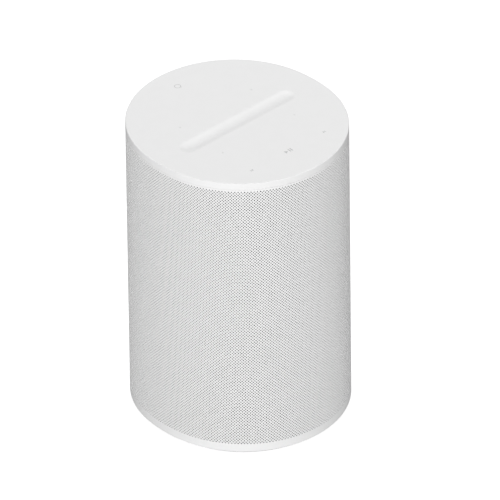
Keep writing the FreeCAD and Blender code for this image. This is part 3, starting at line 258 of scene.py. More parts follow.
def grille_faces(uprights, levels, count):
    """Flat layout of the perforated sheet.

    Each hole has a brick-shaped cell, two grid columns wide and one row high, shifted by one
    column in every other row.  The cell's six grid points are joined to the hole's eight by six
    four-cornered and two three-cornered faces.  Half cells at the row ends and the margins stay
    plain.  Returns the points, the points' hole centres, the faces and each face's strip.
    """
    columns = len(uprights)
    rows = np.arange(HOLE_ROWS)[:, None]
    cells = np.arange(count)[None, :]
    first = 1 + 2 * cells + rows % 2
    low = (1 + rows) * columns + first
    high = low + columns
    grid = np.stack(np.meshgrid(uprights, levels), -1).reshape(-1, 2)

    heights = (levels[1 + rows] + levels[2 + rows]) / 2
    middle = np.stack([uprights[first + 1], np.broadcast_to(heights, first.shape)], -1)
    angles = (np.arange(HOLE_SIDES) + 0.5) * 2 * math.pi / HOLE_SIDES - math.pi
    rim = HOLE_RADIUS * np.stack([np.cos(angles), np.sin(angles)], -1)
    holes = (middle[:, :, None, :] + rim).reshape(-1, 2)
    centres = np.repeat(middle.reshape(-1, 2), HOLE_SIDES, axis=0)
    start = len(grid) + HOLE_SIDES * (rows * count + cells)
    h = [start + step for step in range(HOLE_SIDES)]

    quads = [(low, low + 1, h[1], h[0]), (low + 1, low + 2, h[3], h[2]),
             (low + 2, high + 2, h[4], h[3]), (high + 2, high + 1, h[5], h[4]),
             (high + 1, high, h[7], h[6]), (high, low, h[0], h[7])]
    triangles = [(low + 1, h[2], h[1]), (high + 1, h[6], h[5])]
    quads = np.stack([np.stack(corners, -1) for corners in quads]).reshape(-1, 4)
    triangles = np.stack([np.stack(corners, -1) for corners in triangles]).reshape(-1, 3)
    strip = np.broadcast_to(cells * PANELS // count, first.shape).ravel()

    plain = np.zeros((len(levels) - 1, columns - 1), bool)
    plain[[0, -1], :] = True
    plain[:, [0, -1]] = True
    plain[1:-1:2, -2] = True
    plain[2:-1:2, 1] = True
    row, column = np.nonzero(plain)
    corner = row * columns + column
    plain_quads = np.stack([corner, corner + 1, corner + columns + 1, corner + columns], -1)
    plain_strip = np.clip((column - 1) // 2, 0, count - 1) * PANELS // count

    points = np.concatenate([grid, holes])
    centres = np.concatenate([grid, centres])
    quads = np.concatenate([quads, plain_quads])
    quad_strips = np.concatenate([np.tile(strip, 6), plain_strip])
    return points, centres, quads, quad_strips, triangles, np.tile(strip, 2)


def rim_edges(quads, triangles, count):
    """Directed edges that only one face has, as two arrays of numbers of the count points."""
    ends = [quads[:, [side, (side + 1) % 4]] for side in range(4)]
    ends += [triangles[:, [side, (side + 1) % 3]] for side in range(3)]
    ends = np.concatenate(ends).astype(np.int64)
    there = ends[:, 0] * count + ends[:, 1]
    back = ends[:, 1] * count + ends[:, 0]
    alone = ~np.isin(there, back)
    return ends[alone, 0], ends[alone, 1]


def grille_strip(name, flat, centres, quads, triangles, edges):
    """One closed strip of the perforated sleeve.

    A flat point (run, height) stands on the plan outline at that run and height.  Its inner
    copy is inset by the sheet's thickness, with the hole's rim spread about its centre by the
    flare, and every rim edge is joined to its inner copy by a wall face.  The attribute
    "depth" is 0 on the outer face and 1 on the inner one.  The bake map holds the outer face on
    its left, the inner one on its right, and each wall inside its hole.
    """
    corners = np.concatenate([quads.ravel(), triangles.ravel()])
    used, numbers = np.unique(corners, return_inverse=True)
    quads = numbers[:quads.size].reshape(-1, 4)
    triangles = numbers[quads.size:].reshape(-1, 3)
    flat, centres = flat[used], centres[used]
    count = len(flat)

    inner = centres + (flat - centres) * HOLE_FLARE
    outer_end, inner_end = edges
    at_end = np.abs(np.abs(flat[:, 0]) - outer_end) < 1e-7
    inner[at_end, 0] = np.sign(flat[at_end, 0]) * inner_end
    outer_plan = outline(flat[:, 0])[0]
    inner_plan = outline(inner[:, 0], SHEET)[0]
    points = np.concatenate([np.column_stack([outer_plan, flat[:, 1]]),
                             np.column_stack([inner_plan, inner[:, 1]])])

    a, b = rim_edges(quads, triangles, count)
    walls = np.stack([b, a, a + count, b + count], -1)
    all_quads = np.concatenate([quads, quads[:, ::-1] + count, walls])
    all_triangles = np.concatenate([triangles, triangles[:, ::-1] + count])

    size = np.ptp(flat, axis=0).max() * 1.05
    front = (flat - flat.min(0)) / size
    rear = (inner - flat.min(0)) / size + [0.5, 0.0]
    sunk = (centres + (flat - centres) * 0.5 - flat.min(0)) / size
    quad_places = np.concatenate([front[quads], rear[quads[:, ::-1]],
                                  np.stack([front[b], front[a], sunk[a], sunk[b]], 1)])
    triangle_places = np.concatenate([front[triangles], rear[triangles[:, ::-1]]])
    mesh = new_mesh(name, points, all_quads, all_triangles, (quad_places, triangle_places))

    depth = np.repeat([0.0, 1.0], count).astype(np.float32)
    mesh.attributes.new("depth", "FLOAT", "POINT").data.foreach_set("value", depth)
    return mesh


def build_grille(finish):
    """The perforated sleeve, as upright strips that stand edge to edge."""
    uprights, levels, count, opening = grille_grid()
    edges = uprights[-1], run_to(opening, SHEET)
    points, centres, quads, quad_strips, triangles, triangle_strips = \
        grille_faces(uprights, levels, count)
    for number in range(PANELS):
        mesh = grille_strip(f"grille_strip_{number + 1}", points, centres,
                            quads[quad_strips == number], triangles[triangle_strips == number],
                            edges)
        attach(new_piece(mesh, finish, "grille"), "speaker")


# ---------------------------------------------------------------- suspensions
def axis_line(node, joint):
    """Middle of a node and the direction in which a diaphragm's joint moves it."""
    low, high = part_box(node)
    strokes = frame["record"]["behaviour"]["joints"]
    return (low + high) / 2, Vector(next(j["axis"] for j in strokes if j["name"] == joint))


def outer_radius(node):
    """Radius of a round node that stands on edge, in mm: half its height."""
    low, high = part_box(node)
    return (high.z - low.z) / 2 / MM


def roll_section(radii, height, wall, lip):
    """Front and back of a half roll's section, as (radius, forward) points in mm.

    Both are half ellipses about the middle radius; the front one is larger by the wall, and ends
    where it meets the flat lip, which runs on to its own radius.
    """
    middle, half = sum(radii) / 2, (radii[1] - radii[0]) / 2
    turns = np.linspace(math.pi, math.acos(1 - wall / half / 2), ROLL_STEPS)
    front = np.column_stack([middle + half * np.cos(turns), height * np.sin(turns)])
    turns = np.linspace(math.pi, 0, ROLL_STEPS)
    back = np.column_stack([middle + (half - wall) * np.cos(turns),
                            (height - wall) * np.sin(turns)])
    return np.vstack([front, [lip, front[-1, 1]]]), np.vstack([back, [lip, 0]])


def spider_section(rim):
    """Front and back of the spider's section: cosine waves, then a flat rim."""
    steps = np.linspace(0, SPIDER_WAVES, SPIDER_STEPS * SPIDER_WAVES + 1)
    radius = np.interp(steps, [0, SPIDER_WAVES], SPIDER_FOLDS)
    rise = SPIDER_WALL * (1 - np.cos(math.pi * steps))
    back = np.vstack([np.column_stack([radius, rise]), [rim, 0]])
    return back + [0, SPIDER_WALL], back


def square_to(direction):
    """Two directions square to a level one: to the side, and up."""
    up = Vector((0, 0, 1))
    return up.cross(direction), up


def turned_shell(name, section, line, first=0.0, last=2 * math.pi):
    """Closed shell of a section turned about a line, from one angle to another.

    A section point (radius r, forward f) at the angle a stands at
    base + direction * f + (side * sin(a) + up * cos(a)) * r.  The section itself caps both
    ends, unless the shell goes all the way round.
    """
    front, back = section
    loop = np.concatenate([front, back[::-1]]) * MM
    size = len(loop)
    middle, direction = line
    base = middle - direction * loop[:, 1].max() / 2
    steps = round((last - first) / TURN_STEP)
    whole = steps == round(2 * math.pi / TURN_STEP)
    angles = np.linspace(first, last, steps + 1)[:steps if whole else None]
    side, up = square_to(direction)
    arms = np.outer(np.sin(angles), side) + np.outer(np.cos(angles), up)
    points = (np.array(base) + loop[None, :, 1, None] * np.array(direction)
              + loop[None, :, 0, None] * arms[:, None, :]).reshape(-1, 3)

    row = np.arange(steps)[:, None]
    here = np.arange(size)[None, :]
    ahead = (here + 1) % size
    row, next_row = row * size, (row + 1) % len(angles) * size
    quads = np.stack([row + here, next_row + here, next_row + ahead, row + ahead], -1)
    quads = quads.reshape(-1, 4)
    if not whole:
        near = np.arange(len(front) - 1)
        cap = np.stack([near, near + 1, size - 2 - near, size - 1 - near], -1)
        quads = np.concatenate([quads, cap, cap[:, ::-1] + steps * size])
    return new_mesh(name, points, quads, np.zeros((0, 3), int))


def build_bending_ring(node, section, sectors, finish):
    """A woofer suspension in sectors, each a turned shell about the driver's axis.
    """
    line = axis_line(node, "woofer_stroke")
    for number in range(sectors):
        first, last = (2 * math.pi * step / sectors for step in (number, number + 1))
        mesh = turned_shell(f"{node}_{number + 1}", section, line, first, last)
        piece = new_piece(mesh, finish, node)
        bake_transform(piece)


def build_suspensions(rubber, cloth):
    """The woofer's roll and spider, and the thin rolls round the tweeters' domes."""
    roll = roll_section(WOOFER_ROLL, (WOOFER_ROLL[1] - WOOFER_ROLL[0]) / 2, ROLL_WALL,
                        outer_radius("woofer_surround"))
    build_bending_ring("woofer_surround", roll, WOOFER_SECTORS, rubber)
    build_bending_ring("woofer_spider", spider_section(outer_radius("woofer_spider")),
                       SPIDER_SECTORS, cloth)
    roll = roll_section(DOME_ROLL, DOME_ROLL_HEIGHT, DOME_ROLL_WALL, DOME_ROLL[1])
    for side in ("left", "right"):
        node = f"{side}_tweeter_surround"
        mesh = turned_shell(f"{side}_dome_roll", roll, axis_line(node, f"{side}_tweeter_stroke"))
        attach(new_piece(mesh, rubber, node), "speaker")


# ---------------------------------------------------------------- finishes
class Finish:
    """A procedural material being put together on a Principled shader."""

    def __init__(self, name, colour, roughness, metallic=0.0):
        self.material = bpy.data.materials.new(name)
        self.material.use_nodes = True
        self.tree = self.material.node_tree
        self.shader = next(n for n in self.tree.nodes if n.type == "BSDF_PRINCIPLED")
        self.colour = colour
        self.set("Base Color", (*colour, 1.0))
        self.set("Roughness", roughness)
        self.set("Metallic", metallic)
        self.place = self.add("TexCoord").outputs["Object"]

    def set(self, socket, value):
        """Feeds one of the shader's sockets."""
        self.feed(self.shader.inputs[socket], value)

    def feed(self, socket, value):
        """Puts a number, a colour or another node's output on a socket."""
        if isinstance(value, bpy.types.NodeSocket):
            self.tree.links.new(value, socket)
        elif isinstance(value, tuple) and socket.type == "RGBA":
            socket.default_value = (*value[:3], 1.0)
        else:
            socket.default_value = value

    def add(self, kind, *values, **settings):
        """A node of one kind, with its settings and the values of its first inputs."""
        node = self.tree.nodes.new("ShaderNode" + kind)
        for key, value in settings.items():
            setattr(node, key, value)
        for socket, value in zip(node.inputs, values):
            if value is not None:
                self.feed(socket, value)
        return node

    def math(self, operation, *values):
        """Sum, product or other operation on numbers and outputs."""
        return self.add("Math", *values, operation=operation).outputs[0]

    def least(self, first, *others):
        """Smallest of several values."""
        for other in others:
            first = self.math("MINIMUM", first, other)
        return first

    def most(self, first, *others):
        """Largest of several values."""
        for other in others:
            first = self.math("MAXIMUM", first, other)
        return first

    def millimetres(self):
        """The three place coordinates, in millimetres."""
        scaled = self.add("VectorMath", self.place, operation="SCALE")
        scaled.inputs["Scale"].default_value = 1 / MM
        return self.add("SeparateXYZ", scaled.outputs[0]).outputs

    def stretched(self, along, factor):
        """Place coordinates squeezed along one axis, so that a pattern is drawn out along it."""
        scale = [1.0, 1.0, 1.0]
        scale["XYZ".index(along)] = 1 / factor
        return self.add("VectorMath", self.place, scale, operation="MULTIPLY").outputs[0]

    def round_axis(self, line):
        """Distance along a line, in metres, and distance from it."""
        middle, direction = line
        offset = self.add("VectorMath", self.place, middle, operation="SUBTRACT").outputs[0]
        run = self.add("VectorMath", offset, direction, operation="DOT_PRODUCT").outputs["Value"]
        across = self.add("VectorMath", offset, direction, operation="CROSS_PRODUCT").outputs[0]
        return run, self.add("VectorMath", across, operation="LENGTH").outputs["Value"]

    def noise(self, size, detail=2.0, place=None):
        """Noise with features of about this size, from 0 to 1."""
        node = self.add("TexNoise", place or self.place)
        node.inputs["Scale"].default_value = 1 / size
        node.inputs["Detail"].default_value = detail
        return node.outputs[0]

    def noise_of(self, value, size):
        """Noise that depends on one number only."""
        node = self.add("TexNoise", noise_dimensions="1D")
        self.feed(node.inputs["W"], value)
        node.inputs["Scale"].default_value = 1 / size
        node.inputs["Detail"].default_value = 3.0
        return node.outputs[0]

    def cells(self, size, feature="F1", **settings):
        """Distances in a pattern of cells of about this size."""
        node = self.add("TexVoronoi", self.place, feature=feature, **settings)
        node.inputs["Scale"].default_value = 1 / size
        return node.outputs["Distance"]

    def ripple(self, value, pitch):
        """Sine wave between 0 and 1 that repeats every pitch."""
        turn = self.math("MULTIPLY", value, 2 * math.pi / pitch)
        return self.math("MULTIPLY_ADD", self.math("SINE", turn), 0.5, 0.5)

    def ramp(self, value, low, high, start=0.0, end=1.0):
        """Value mapped from start..end to low..high, and held beyond."""
        return self.add("MapRange", value, start, end, low, high).outputs[0]

    def blend(self, share, first, second):
        """Colour between two, by share; sockets 6 and 7 and output 2 are a Mix node's colours."""
        node = self.add("Mix", data_type="RGBA")
        for socket, value in zip((node.inputs[0], node.inputs[6], node.inputs[7]),
                                 (share, first, second)):
            self.feed(socket, value)
        return node.outputs[2]

    def shaded(self, factor):
        """The finish's own colour times a factor."""
        return tuple(min(channel * factor, 1.0) for channel in self.colour)

    def wander(self, share, amount):
        """The finish's own colour, made darker and lighter by up to an amount, by share."""
        return self.blend(self.ramp(share, 0, 1, 0.3, 0.7), self.shaded(1 - amount),
                          self.shaded(1 + amount))

    def vary_roughness(self, share, low, high):
        """Roughness from low to high, by share."""
        self.set("Roughness", self.ramp(share, low, high))

    def relief(self, height, depth):
        """Bump of this depth, in metres, from a height between 0 and 1."""
        node = self.add("Bump")
        node.inputs["Distance"].default_value = depth
        self.feed(node.inputs["Height"], height)
        self.set("Normal", node.outputs[0])


def grey(value):
    """Neutral colour that returns this share of the light."""
    return (value, value, value)


def box_mm(node):
    """Low and high corner of a node's box, in millimetres."""
    low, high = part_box(node)
    return low / MM, high / MM


def height_of(node):
    """Middle height of a node, in millimetres."""
    low, high = box_mm(node)
    return (low.z + high.z) / 2


# ---------------------------------------------------------------- printed marks
def bar(finish, u, v, half_u, half_v):
    """Distance outside an upright bar about the origin, negative inside."""
    across = finish.math("SUBTRACT", finish.math("ABSOLUTE", u), half_u)
    up = finish.math("SUBTRACT", finish.math("ABSOLUTE", v), half_v)
    return finish.most(across, up)


def ring(finish, u, v, radius, half_line):
    """Distance outside a ring's line about the origin: | reach - radius | - half line."""
    squares = finish.math("MULTIPLY_ADD", u, u, finish.math("MULTIPLY", v, v))
    beyond = finish.math("SUBTRACT", finish.math("SQRT", squares), radius)
    return finish.math("SUBTRACT", finish.math("ABSOLUTE", beyond), half_line)


def capsule(finish, u, v, radius, half_run):
    """Distance outside an upright bar with round ends."""
    past = finish.math("SUBTRACT", finish.math("ABSOLUTE", v), half_run)
    past = finish.most(past, 0.0)
    return ring(finish, u, past, 0.0, radius)


def arrow(finish, u, v, length, half_width):
    """Distance outside a triangle that stands on u = 0 and points to u = length."""
    slant = math.hypot(length, half_width)
    fall = finish.math("MULTIPLY_ADD", u, half_width / slant, -half_width * length / slant)
    side = finish.math("MULTIPLY_ADD", finish.math("ABSOLUTE", v), length / slant, fall)
    return finish.most(side, finish.math("MULTIPLY", u, -1.0))


def moved(finish, value, to, turned=1.0):
    """Coordinate counted from another origin, and the other way where turned is -1."""
    return finish.math("MULTIPLY_ADD", value, turned, -to * turned)


def play_mark(finish, x, y):
    """Triangle followed by two upright bars."""
    half = 1.35                      # half the mark's height
    triangle = arrow(finish, moved(finish, x, -2.5), y, 2.0, half)
    bars = [bar(finish, moved(finish, x, at), y, 0.36, half) for at in (0.7, 2.1)]
    return finish.least(triangle, *bars)


def skip_mark(finish, x, y, way):
    """Small triangle that points to a bar, to the right or, where way is -1, to the left."""
    half = 0.85                      # half the mark's height
    outward = moved(finish, x, 0.0, way)
    triangle = arrow(finish, moved(finish, outward, -0.9), y, 1.3, half)
    return finish.least(triangle, bar(finish, moved(finish, outward, 0.65), y, 0.17, half))


def voice_mark(finish, x, y):
    """Round speech bubble with a short tail at its lower right."""
    tail = arrow(finish, moved(finish, y, -1.6, -1.0), moved(finish, x, 0.8), 0.9, 0.4)
    return finish.least(ring(finish, x, y, 1.75, 0.17), tail)


def microphone_mark(finish, x, z):
    """Capsule in a half-ring cradle, on a stem with a foot."""
    line = 0.14                      # half the width of the mark's lines
    head = capsule(finish, x, moved(finish, z, 0.7), 0.62, 0.65)
    above = moved(finish, z, 0.35)
    cradle = finish.most(ring(finish, x, above, 1.25, line), above)
    stem = bar(finish, x, moved(finish, z, -1.25), line, 0.35)
    foot = bar(finish, x, moved(finish, z, -1.65), 0.75, line)
    return finish.least(head, cradle, stem, foot)


def linked_mark(finish, x, z):
    """Two linked rings."""
    aside, radius, line = 0.75, 1.15, 0.15
    return finish.least(*(ring(finish, moved(finish, x, at), z, radius, line)
                          for at in (-aside, aside)))


def printed(finish, colour, distances, ink, within):
    """A plain colour overlaid with ink where the distance to a mark is negative.

    The share of ink falls from 1 to 0 over the print's soft edge, and only counts where the
    value within, in millimetres, is positive.
    """
    soft = PRINT_SOFTNESS / 2
    share = finish.ramp(finish.least(*distances), 1, 0, -soft, soft)
    share = finish.math("MULTIPLY", share, finish.math("GREATER_THAN", within, 0.0))
    return finish.blend(share, colour, ink)


# ---------------------------------------------------------------- finishes of the outside
def moulded(name, colour, roughness, grain, depth, drift=0.005):
    """Moulded plastic or rubber: a fine eroded grain, and a colour that drifts slightly."""
    finish = Finish(name, colour, roughness)
    fine = finish.noise(grain, 3.0)
    finish.plain = finish.wander(finish.noise(60 * grain), drift)
    finish.set("Base Color", finish.plain)
    finish.vary_roughness(fine, roughness - 0.06, roughness + 0.06)
    finish.relief(fine, depth)
    return finish


def painted_inside_shade(finish, colour, within):
    """A colour turned to near black painted shade where the value within is positive."""
    share = finish.math("GREATER_THAN", within, 0.0)
    return finish.blend(share, colour, grey(PAINTED_SHADE_BLACK))


def cover_plastic(name):
    """Matt white plastic of the two covers."""
    return moulded(name, grey(0.84), 0.88, 0.12 * MM, 0.005 * MM)


def top_finish(name):
    """White cap with the touch marks printed in grey, and painted shade, near black, on the spigot
    inside the sleeve.

    The four microphone ports stand over the middles of their gaskets, each with a grey disc of
    painted shade round it.
    """
    finish = cover_plastic(name)
    x, y, z = finish.millimetres()
    front = -half_depth / MM + FRONT_MARKS
    rear = half_depth / MM - REAR_MARK
    skin = moved(finish, z, cad_box[1].z / MM - SKIN)
    marks = [play_mark(finish, moved(finish, x, 0.3), moved(finish, y, front)),
             skip_mark(finish, moved(finish, x, -SIDE_MARKS), moved(finish, y, front), -1.0),
             skip_mark(finish, moved(finish, x, SIDE_MARKS), moved(finish, y, front), 1.0),
             voice_mark(finish, x, moved(finish, y, rear))]
    _, seats = box_mm("microphone_gaskets")
    aside, along = (moved(finish, finish.math("ABSOLUTE", value), reach - PORT_SEAT)
                    for value, reach in ((x, seats.x), (y, seats.y)))
    # painted shade: a grey disc round each port
    port_shade = ring(finish, aside, along, 0.0, PORT_SHADE_RADIUS)
    colour = printed(finish, finish.plain, marks, grey(PRINT_GREY), skin)
    colour = printed(finish, colour, [port_shade], grey(PORT_SHADE_GREY), skin)
    # painted shade, near black, on the spigot below the sleeve's top, so that nothing pale shows
    # through the holes
    seam = box_mm("grille")[1].z + SHADE_SEAM_LAP
    finish.set("Base Color", painted_inside_shade(finish, colour, moved(finish, z, seam, -1.0)))
    return finish


def base_finish(name):
    """White tray with painted shade, near black, on its spigot and its inside.

    The inside is above the tray's floor, and within an ellipse a little smaller than the plan:
    (x / a) ** 2 + (y / b) ** 2 < 1.
    """
    finish = cover_plastic(name)
    x, y, z = finish.millimetres()
    aside, along = (finish.math("DIVIDE", value, reach / MM - TRAY_WALL)
                    for value, reach in ((x, half_width), (y, half_depth)))
    squares = finish.math("MULTIPLY_ADD", aside, aside, finish.math("MULTIPLY", along, along))
    inside = finish.least(moved(finish, z, TRAY_FLOOR - 0.05), moved(finish, squares, 1.0, -1.0))
    # painted shade on the spigot and the inside, standing in for the shade behind the holes
    seam = box_mm("grille")[0].z + SHADE_SEAM_LAP
    hidden = finish.most(inside, moved(finish, z, seam))
    finish.set("Base Color", painted_inside_shade(finish, finish.plain, hidden))
    return finish


def panel_finish(name):
    """Satin white panel with small marks beside the two controls, and painted shade, near black,
    inside.

    The inside is where the distance from the rear arc's centre is less than the arc's radius
    by more than the sheet's thickness.
    """
    finish = moulded(name, grey(0.83), 0.5, 0.12 * MM, 0.006 * MM)
    x, y, z = finish.millimetres()
    aside = moved(finish, x, -PANEL_MARKS)
    marks = [microphone_mark(finish, aside, moved(finish, z, height_of("mic_switch_knob"))),
             linked_mark(finish, aside, moved(finish, z, height_of("pairing_button")))]
    skin = moved(finish, y, box_mm("rear_panel")[1].y - SKIN)
    colour = printed(finish, finish.plain, marks, grey(PANEL_PRINT_GREY), skin)
    # painted shade, near black, on the panel's inside, standing in for the shade behind the holes
    _, reach = finish.round_axis(((0.0, END_SHIFT, 0.0), (0.0, 0.0, 1.0)))
    sunk = finish.math("SUBTRACT", END_RADIUS - SHEET - 0.05 * MM, reach)
    finish.set("Base Color", painted_inside_shade(finish, colour, sunk))
    return finish


def grille_finish(name):
    """Matt white outside, with painted shade inside: near black on the inner face and fading out
    along the walls of the holes, so that the holes look dark.
    """
    finish = Finish(name, grey(0.84), 0.85)
    depth = finish.add("Attribute", attribute_name="depth").outputs["Fac"]
    # painted shade: black from the inner face partway up the holes' walls
    black = finish.ramp(depth, 0, 1, 0, HOLE_SHADE_DEPTH)
    face = finish.wander(finish.noise(7 * MM), 0.005)
    finish.set("Base Color", finish.blend(black, face, grey(PAINTED_SHADE_BLACK)))
    fine = finish.noise(0.12 * MM, 3.0)
    finish.vary_roughness(fine, 0.8, 0.9)
    finish.relief(fine, 0.004 * MM)
    return finish


# ---------------------------------------------------------------- finishes of the inside
def plated(name, colour, roughness, cloud):
    """Plated or tinned metal: cloudy gloss, and a slightly warmer and colder tint in patches."""
    finish = Finish(name, colour, roughness, 1.0)
    patches = finish.noise(cloud, 4.0)
    red, green, blue = finish.colour
    finish.set("Base Color", finish.blend(finish.ramp(patches, 0, 1, 0.35, 0.65),
                                          (red, green * 0.97, blue * 0.92),
                                          (red * 0.95, green * 0.98, min(blue * 1.03, 1.0))))
    finish.vary_roughness(finish.noise(cloud / 4, 3.0), roughness - 0.1, roughness + 0.12)
    finish.relief(finish.noise(cloud / 12, 2.0), 0.004 * MM)
    return finish


def brushed(name, colour, roughness, along):
    """Sheet metal brushed along one axis: long fine scratches in its gloss and colour."""
    finish = Finish(name, colour, roughness, 1.0)
    scratch = finish.noise(0.15 * MM, 4.0, finish.stretched(along, 60.0))
    finish.set("Base Color", finish.wander(scratch, 0.05))
    finish.vary_roughness(scratch, roughness - 0.1, roughness + 0.15)
    finish.relief(scratch, 0.006 * MM)
    return finish


def turned(name, colour, roughness, line):
    """Turned or pressed round metal: fine rings about its axis, from the distance to it."""
    finish = Finish(name, colour, roughness, 1.0)
    run, reach = finish.round_axis(line)
    rings = finish.noise_of(finish.math("ADD", run, reach), 0.3 * MM)
    finish.set("Base Color", finish.wander(rings, 0.06))
    finish.vary_roughness(finish.noise(2 * MM), roughness - 0.08, roughness + 0.1)
    finish.relief(rings, 0.01 * MM)
    return finish


def powder_coated(name, colour):
    """Thick matt paint with an orange-peel surface."""
    finish = Finish(name, colour, 0.55)
    peel = finish.noise(0.9 * MM, 2.0)
    finish.set("Base Color", finish.wander(finish.noise(5 * MM), 0.1))
    finish.vary_roughness(peel, 0.45, 0.65)
    finish.relief(peel, 0.03 * MM)
    return finish


def textured_housing(name, colour):
    """Moulded housing with a spark-eroded texture of small round pits."""
    finish = Finish(name, colour, 0.6)
    pits = finish.cells(0.7 * MM, "SMOOTH_F1")
    finish.set("Base Color", finish.wander(finish.noise(12 * MM, 3.0), 0.12))
    finish.vary_roughness(pits, 0.5, 0.72)
    finish.relief(pits, 0.03 * MM)
    return finish


def open_foam(name, colour):
    """Open-cell foam: pale struts along the edges of dark cells."""
    finish = Finish(name, colour, 0.95)
    edge = finish.cells(1.3 * MM, "DISTANCE_TO_EDGE")
    strut = finish.ramp(edge, 1, 0, 0.02, 0.22)
    finish.set("Base Color", finish.blend(strut, finish.shaded(0.3), finish.shaded(1.25)))
    finish.relief(strut, 0.5 * MM)
    return finish


def sintered(name, colour):
    """Pressed and fired ferrite: dull, finely speckled, with small chips."""
    finish = Finish(name, colour, 0.6, 0.15)
    speck = finish.noise(0.5 * MM, 5.0)
    finish.set("Base Color", finish.wander(speck, 0.25))
    finish.vary_roughness(speck, 0.5, 0.75)
    finish.relief(finish.noise(1.2 * MM, 5.0), 0.05 * MM)
    return finish


def fibrous(name, colour):
    """Pressed paper: three layers of drawn-out noise that cross, as fibres do."""
    finish = Finish(name, colour, 0.9)
    layers = [finish.noise(0.35 * MM, 3.0, finish.stretched(along, 7.0)) for along in "XYZ"]
    fibres = finish.most(*layers)
    finish.set("Base Color", finish.blend(finish.ramp(fibres, 0, 1, 0.45, 0.75),
                                          finish.shaded(0.75), finish.shaded(1.7)))
    finish.vary_roughness(fibres, 0.8, 1.0)
    finish.relief(fibres, 0.05 * MM)
    return finish


def satin_rubber(name, colour):
    """Smooth rubber skin: faint flow marks, and dust in places."""
    finish = Finish(name, colour, 0.45)
    flow = finish.noise(3 * MM, 3.0)
    dust = finish.ramp(finish.noise(0.6 * MM, 5.0), 0, 0.25, 0.55, 0.8)
    finish.set("Base Color", finish.blend(dust, finish.wander(flow, 0.12), grey(0.16)))
    finish.vary_roughness(flow, 0.38, 0.58)
    finish.relief(finish.noise(0.25 * MM, 2.0), 0.006 * MM)
    return finish


def woven(name, colour, pitch, roughness, depth):
    """Plain weave over the front view: threads run in X and Z and cross as two sine waves."""
    finish = Finish(name, colour, roughness)
    x, _, z = finish.add("SeparateXYZ", finish.place).outputs
    over = finish.ripple(x, 2 * pitch)
    under = finish.ripple(z, 2 * pitch)
    same = finish.math("MULTIPLY", over, under)
    other = finish.math("MULTIPLY", finish.math("SUBTRACT", 1.0, over),
                        finish.math("SUBTRACT", 1.0, under))
    bumps = finish.math("ADD", same, other)
    tone = finish.math("MULTIPLY_ADD", finish.noise(4 * MM, 3.0), 0.5,
                       finish.math("MULTIPLY", bumps, 0.5))
    finish.set("Base Color", finish.blend(tone, finish.shaded(0.7), finish.shaded(1.25)))
    finish.vary_roughness(bumps, roughness + 0.1, roughness - 0.05)
    finish.relief(bumps, depth)
    return finish


def wound(name, colour, line, wire):
    """Enamelled wire: round turns side by side along the coil's axis."""
    finish = Finish(name, colour, 0.32, 0.85)
    run, _ = finish.round_axis(line)
    turns = finish.ripple(run, wire)
    finish.set("Base Color", finish.blend(turns, finish.shaded(0.45), finish.shaded(1.1)))
    finish.vary_roughness(finish.noise(2 * MM), 0.25, 0.42)
    finish.relief(turns, 0.08 * MM)
    return finish


def circuit(name, colour):
    """Solder mask over copper: square-cornered tracks, and tinned pads scattered on them."""
    track_pitch, pad_pitch = 2.6 * MM, 3.4 * MM
    finish = Finish(name, colour, 0.28)
    tracks = finish.cells(track_pitch, distance="CHEBYCHEV")
    copper = finish.ramp(finish.math("FRACT", finish.math("MULTIPLY", tracks, 3.0)),
                         0, 1, 0.42, 0.5)
    pads = finish.ramp(finish.cells(pad_pitch), 1, 0, 0.1, 0.13)
    mask = finish.blend(copper, finish.shaded(0.75), finish.shaded(1.6))
    finish.set("Base Color", finish.blend(pads, mask, (0.62, 0.6, 0.55)))
    finish.set("Metallic", finish.math("MULTIPLY", pads, 0.9))
    finish.vary_roughness(finish.noise(3 * MM), 0.22, 0.4)
    finish.relief(finish.most(copper, pads), 0.035 * MM)
    return finish


def soft_pad(name, colour):
    """Silicone pad: waxy, lightly marbled, with a press-cloth pattern."""
    thread = 0.8 * MM
    finish = Finish(name, colour, 0.6)
    x, _, z = finish.add("SeparateXYZ", finish.place).outputs
    cloth = finish.math("MULTIPLY", finish.ripple(x, thread), finish.ripple(z, thread))
    finish.set("Base Color", finish.wander(finish.noise(3 * MM, 4.0), 0.1))
    finish.vary_roughness(cloth, 0.5, 0.7)
    finish.relief(cloth, 0.03 * MM)
    return finish


def terminal_finish(name, colour):
    """Brown laminate strip, with tinned tags behind its face."""
    strip = 1.2                      # its thickness, in mm
    finish = Finish(name, colour, 0.55)
    _, y, _ = finish.millimetres()
    back = box_mm("woofer_terminals")[0].y + strip
    tag = finish.ramp(moved(finish, y, back), 0, 1, -0.02, 0.02)
    layers = finish.noise(0.3 * MM, 3.0, finish.stretched("X", 12.0))
    finish.set("Base Color", finish.blend(tag, finish.wander(layers, 0.2), grey(0.66)))
    finish.set("Metallic", tag)
    finish.vary_roughness(layers, 0.35, 0.6)
    finish.relief(layers, 0.01 * MM)
    return finish


def transformer_finish(name, colour):
    """Yellow tape round the winding, framed by the dark cheeks and legs of the ferrite core."""
    leg, tape_width = 2.5, 2.9       # in mm
    finish = Finish(name, colour, 0.4)
    x, _, z = finish.millimetres()
    low, high = box_mm("power_transformer")
    up, aside = (finish.math("ABSOLUTE", moved(finish, value, middle))
                 for value, middle in ((z, (low.z + high.z) / 2), (x, (low.x + high.x) / 2)))
    over = finish.most(moved(finish, up, (high.z - low.z) / 4),
                       moved(finish, aside, (high.x - low.x) / 2 - leg))
    frame_share = finish.ramp(over, 0, 1, -0.03, 0.03)
    edge = finish.ramp(finish.ripple(x, tape_width), 0, 1, 0.93, 0.99)
    tape = finish.blend(edge, finish.wander(finish.noise(2 * MM, 3.0), 0.08), finish.shaded(0.7))
    speck = finish.noise(0.5 * MM, 5.0)
    core = finish.blend(speck, grey(0.07), grey(0.17))
    finish.set("Base Color", finish.blend(frame_share, tape, core))
    finish.set("Roughness", finish.math("MULTIPLY_ADD", frame_share, 0.3, 0.33))
    finish.relief(finish.math("MULTIPLY_ADD", speck, frame_share, edge), 0.03 * MM)
    return finish


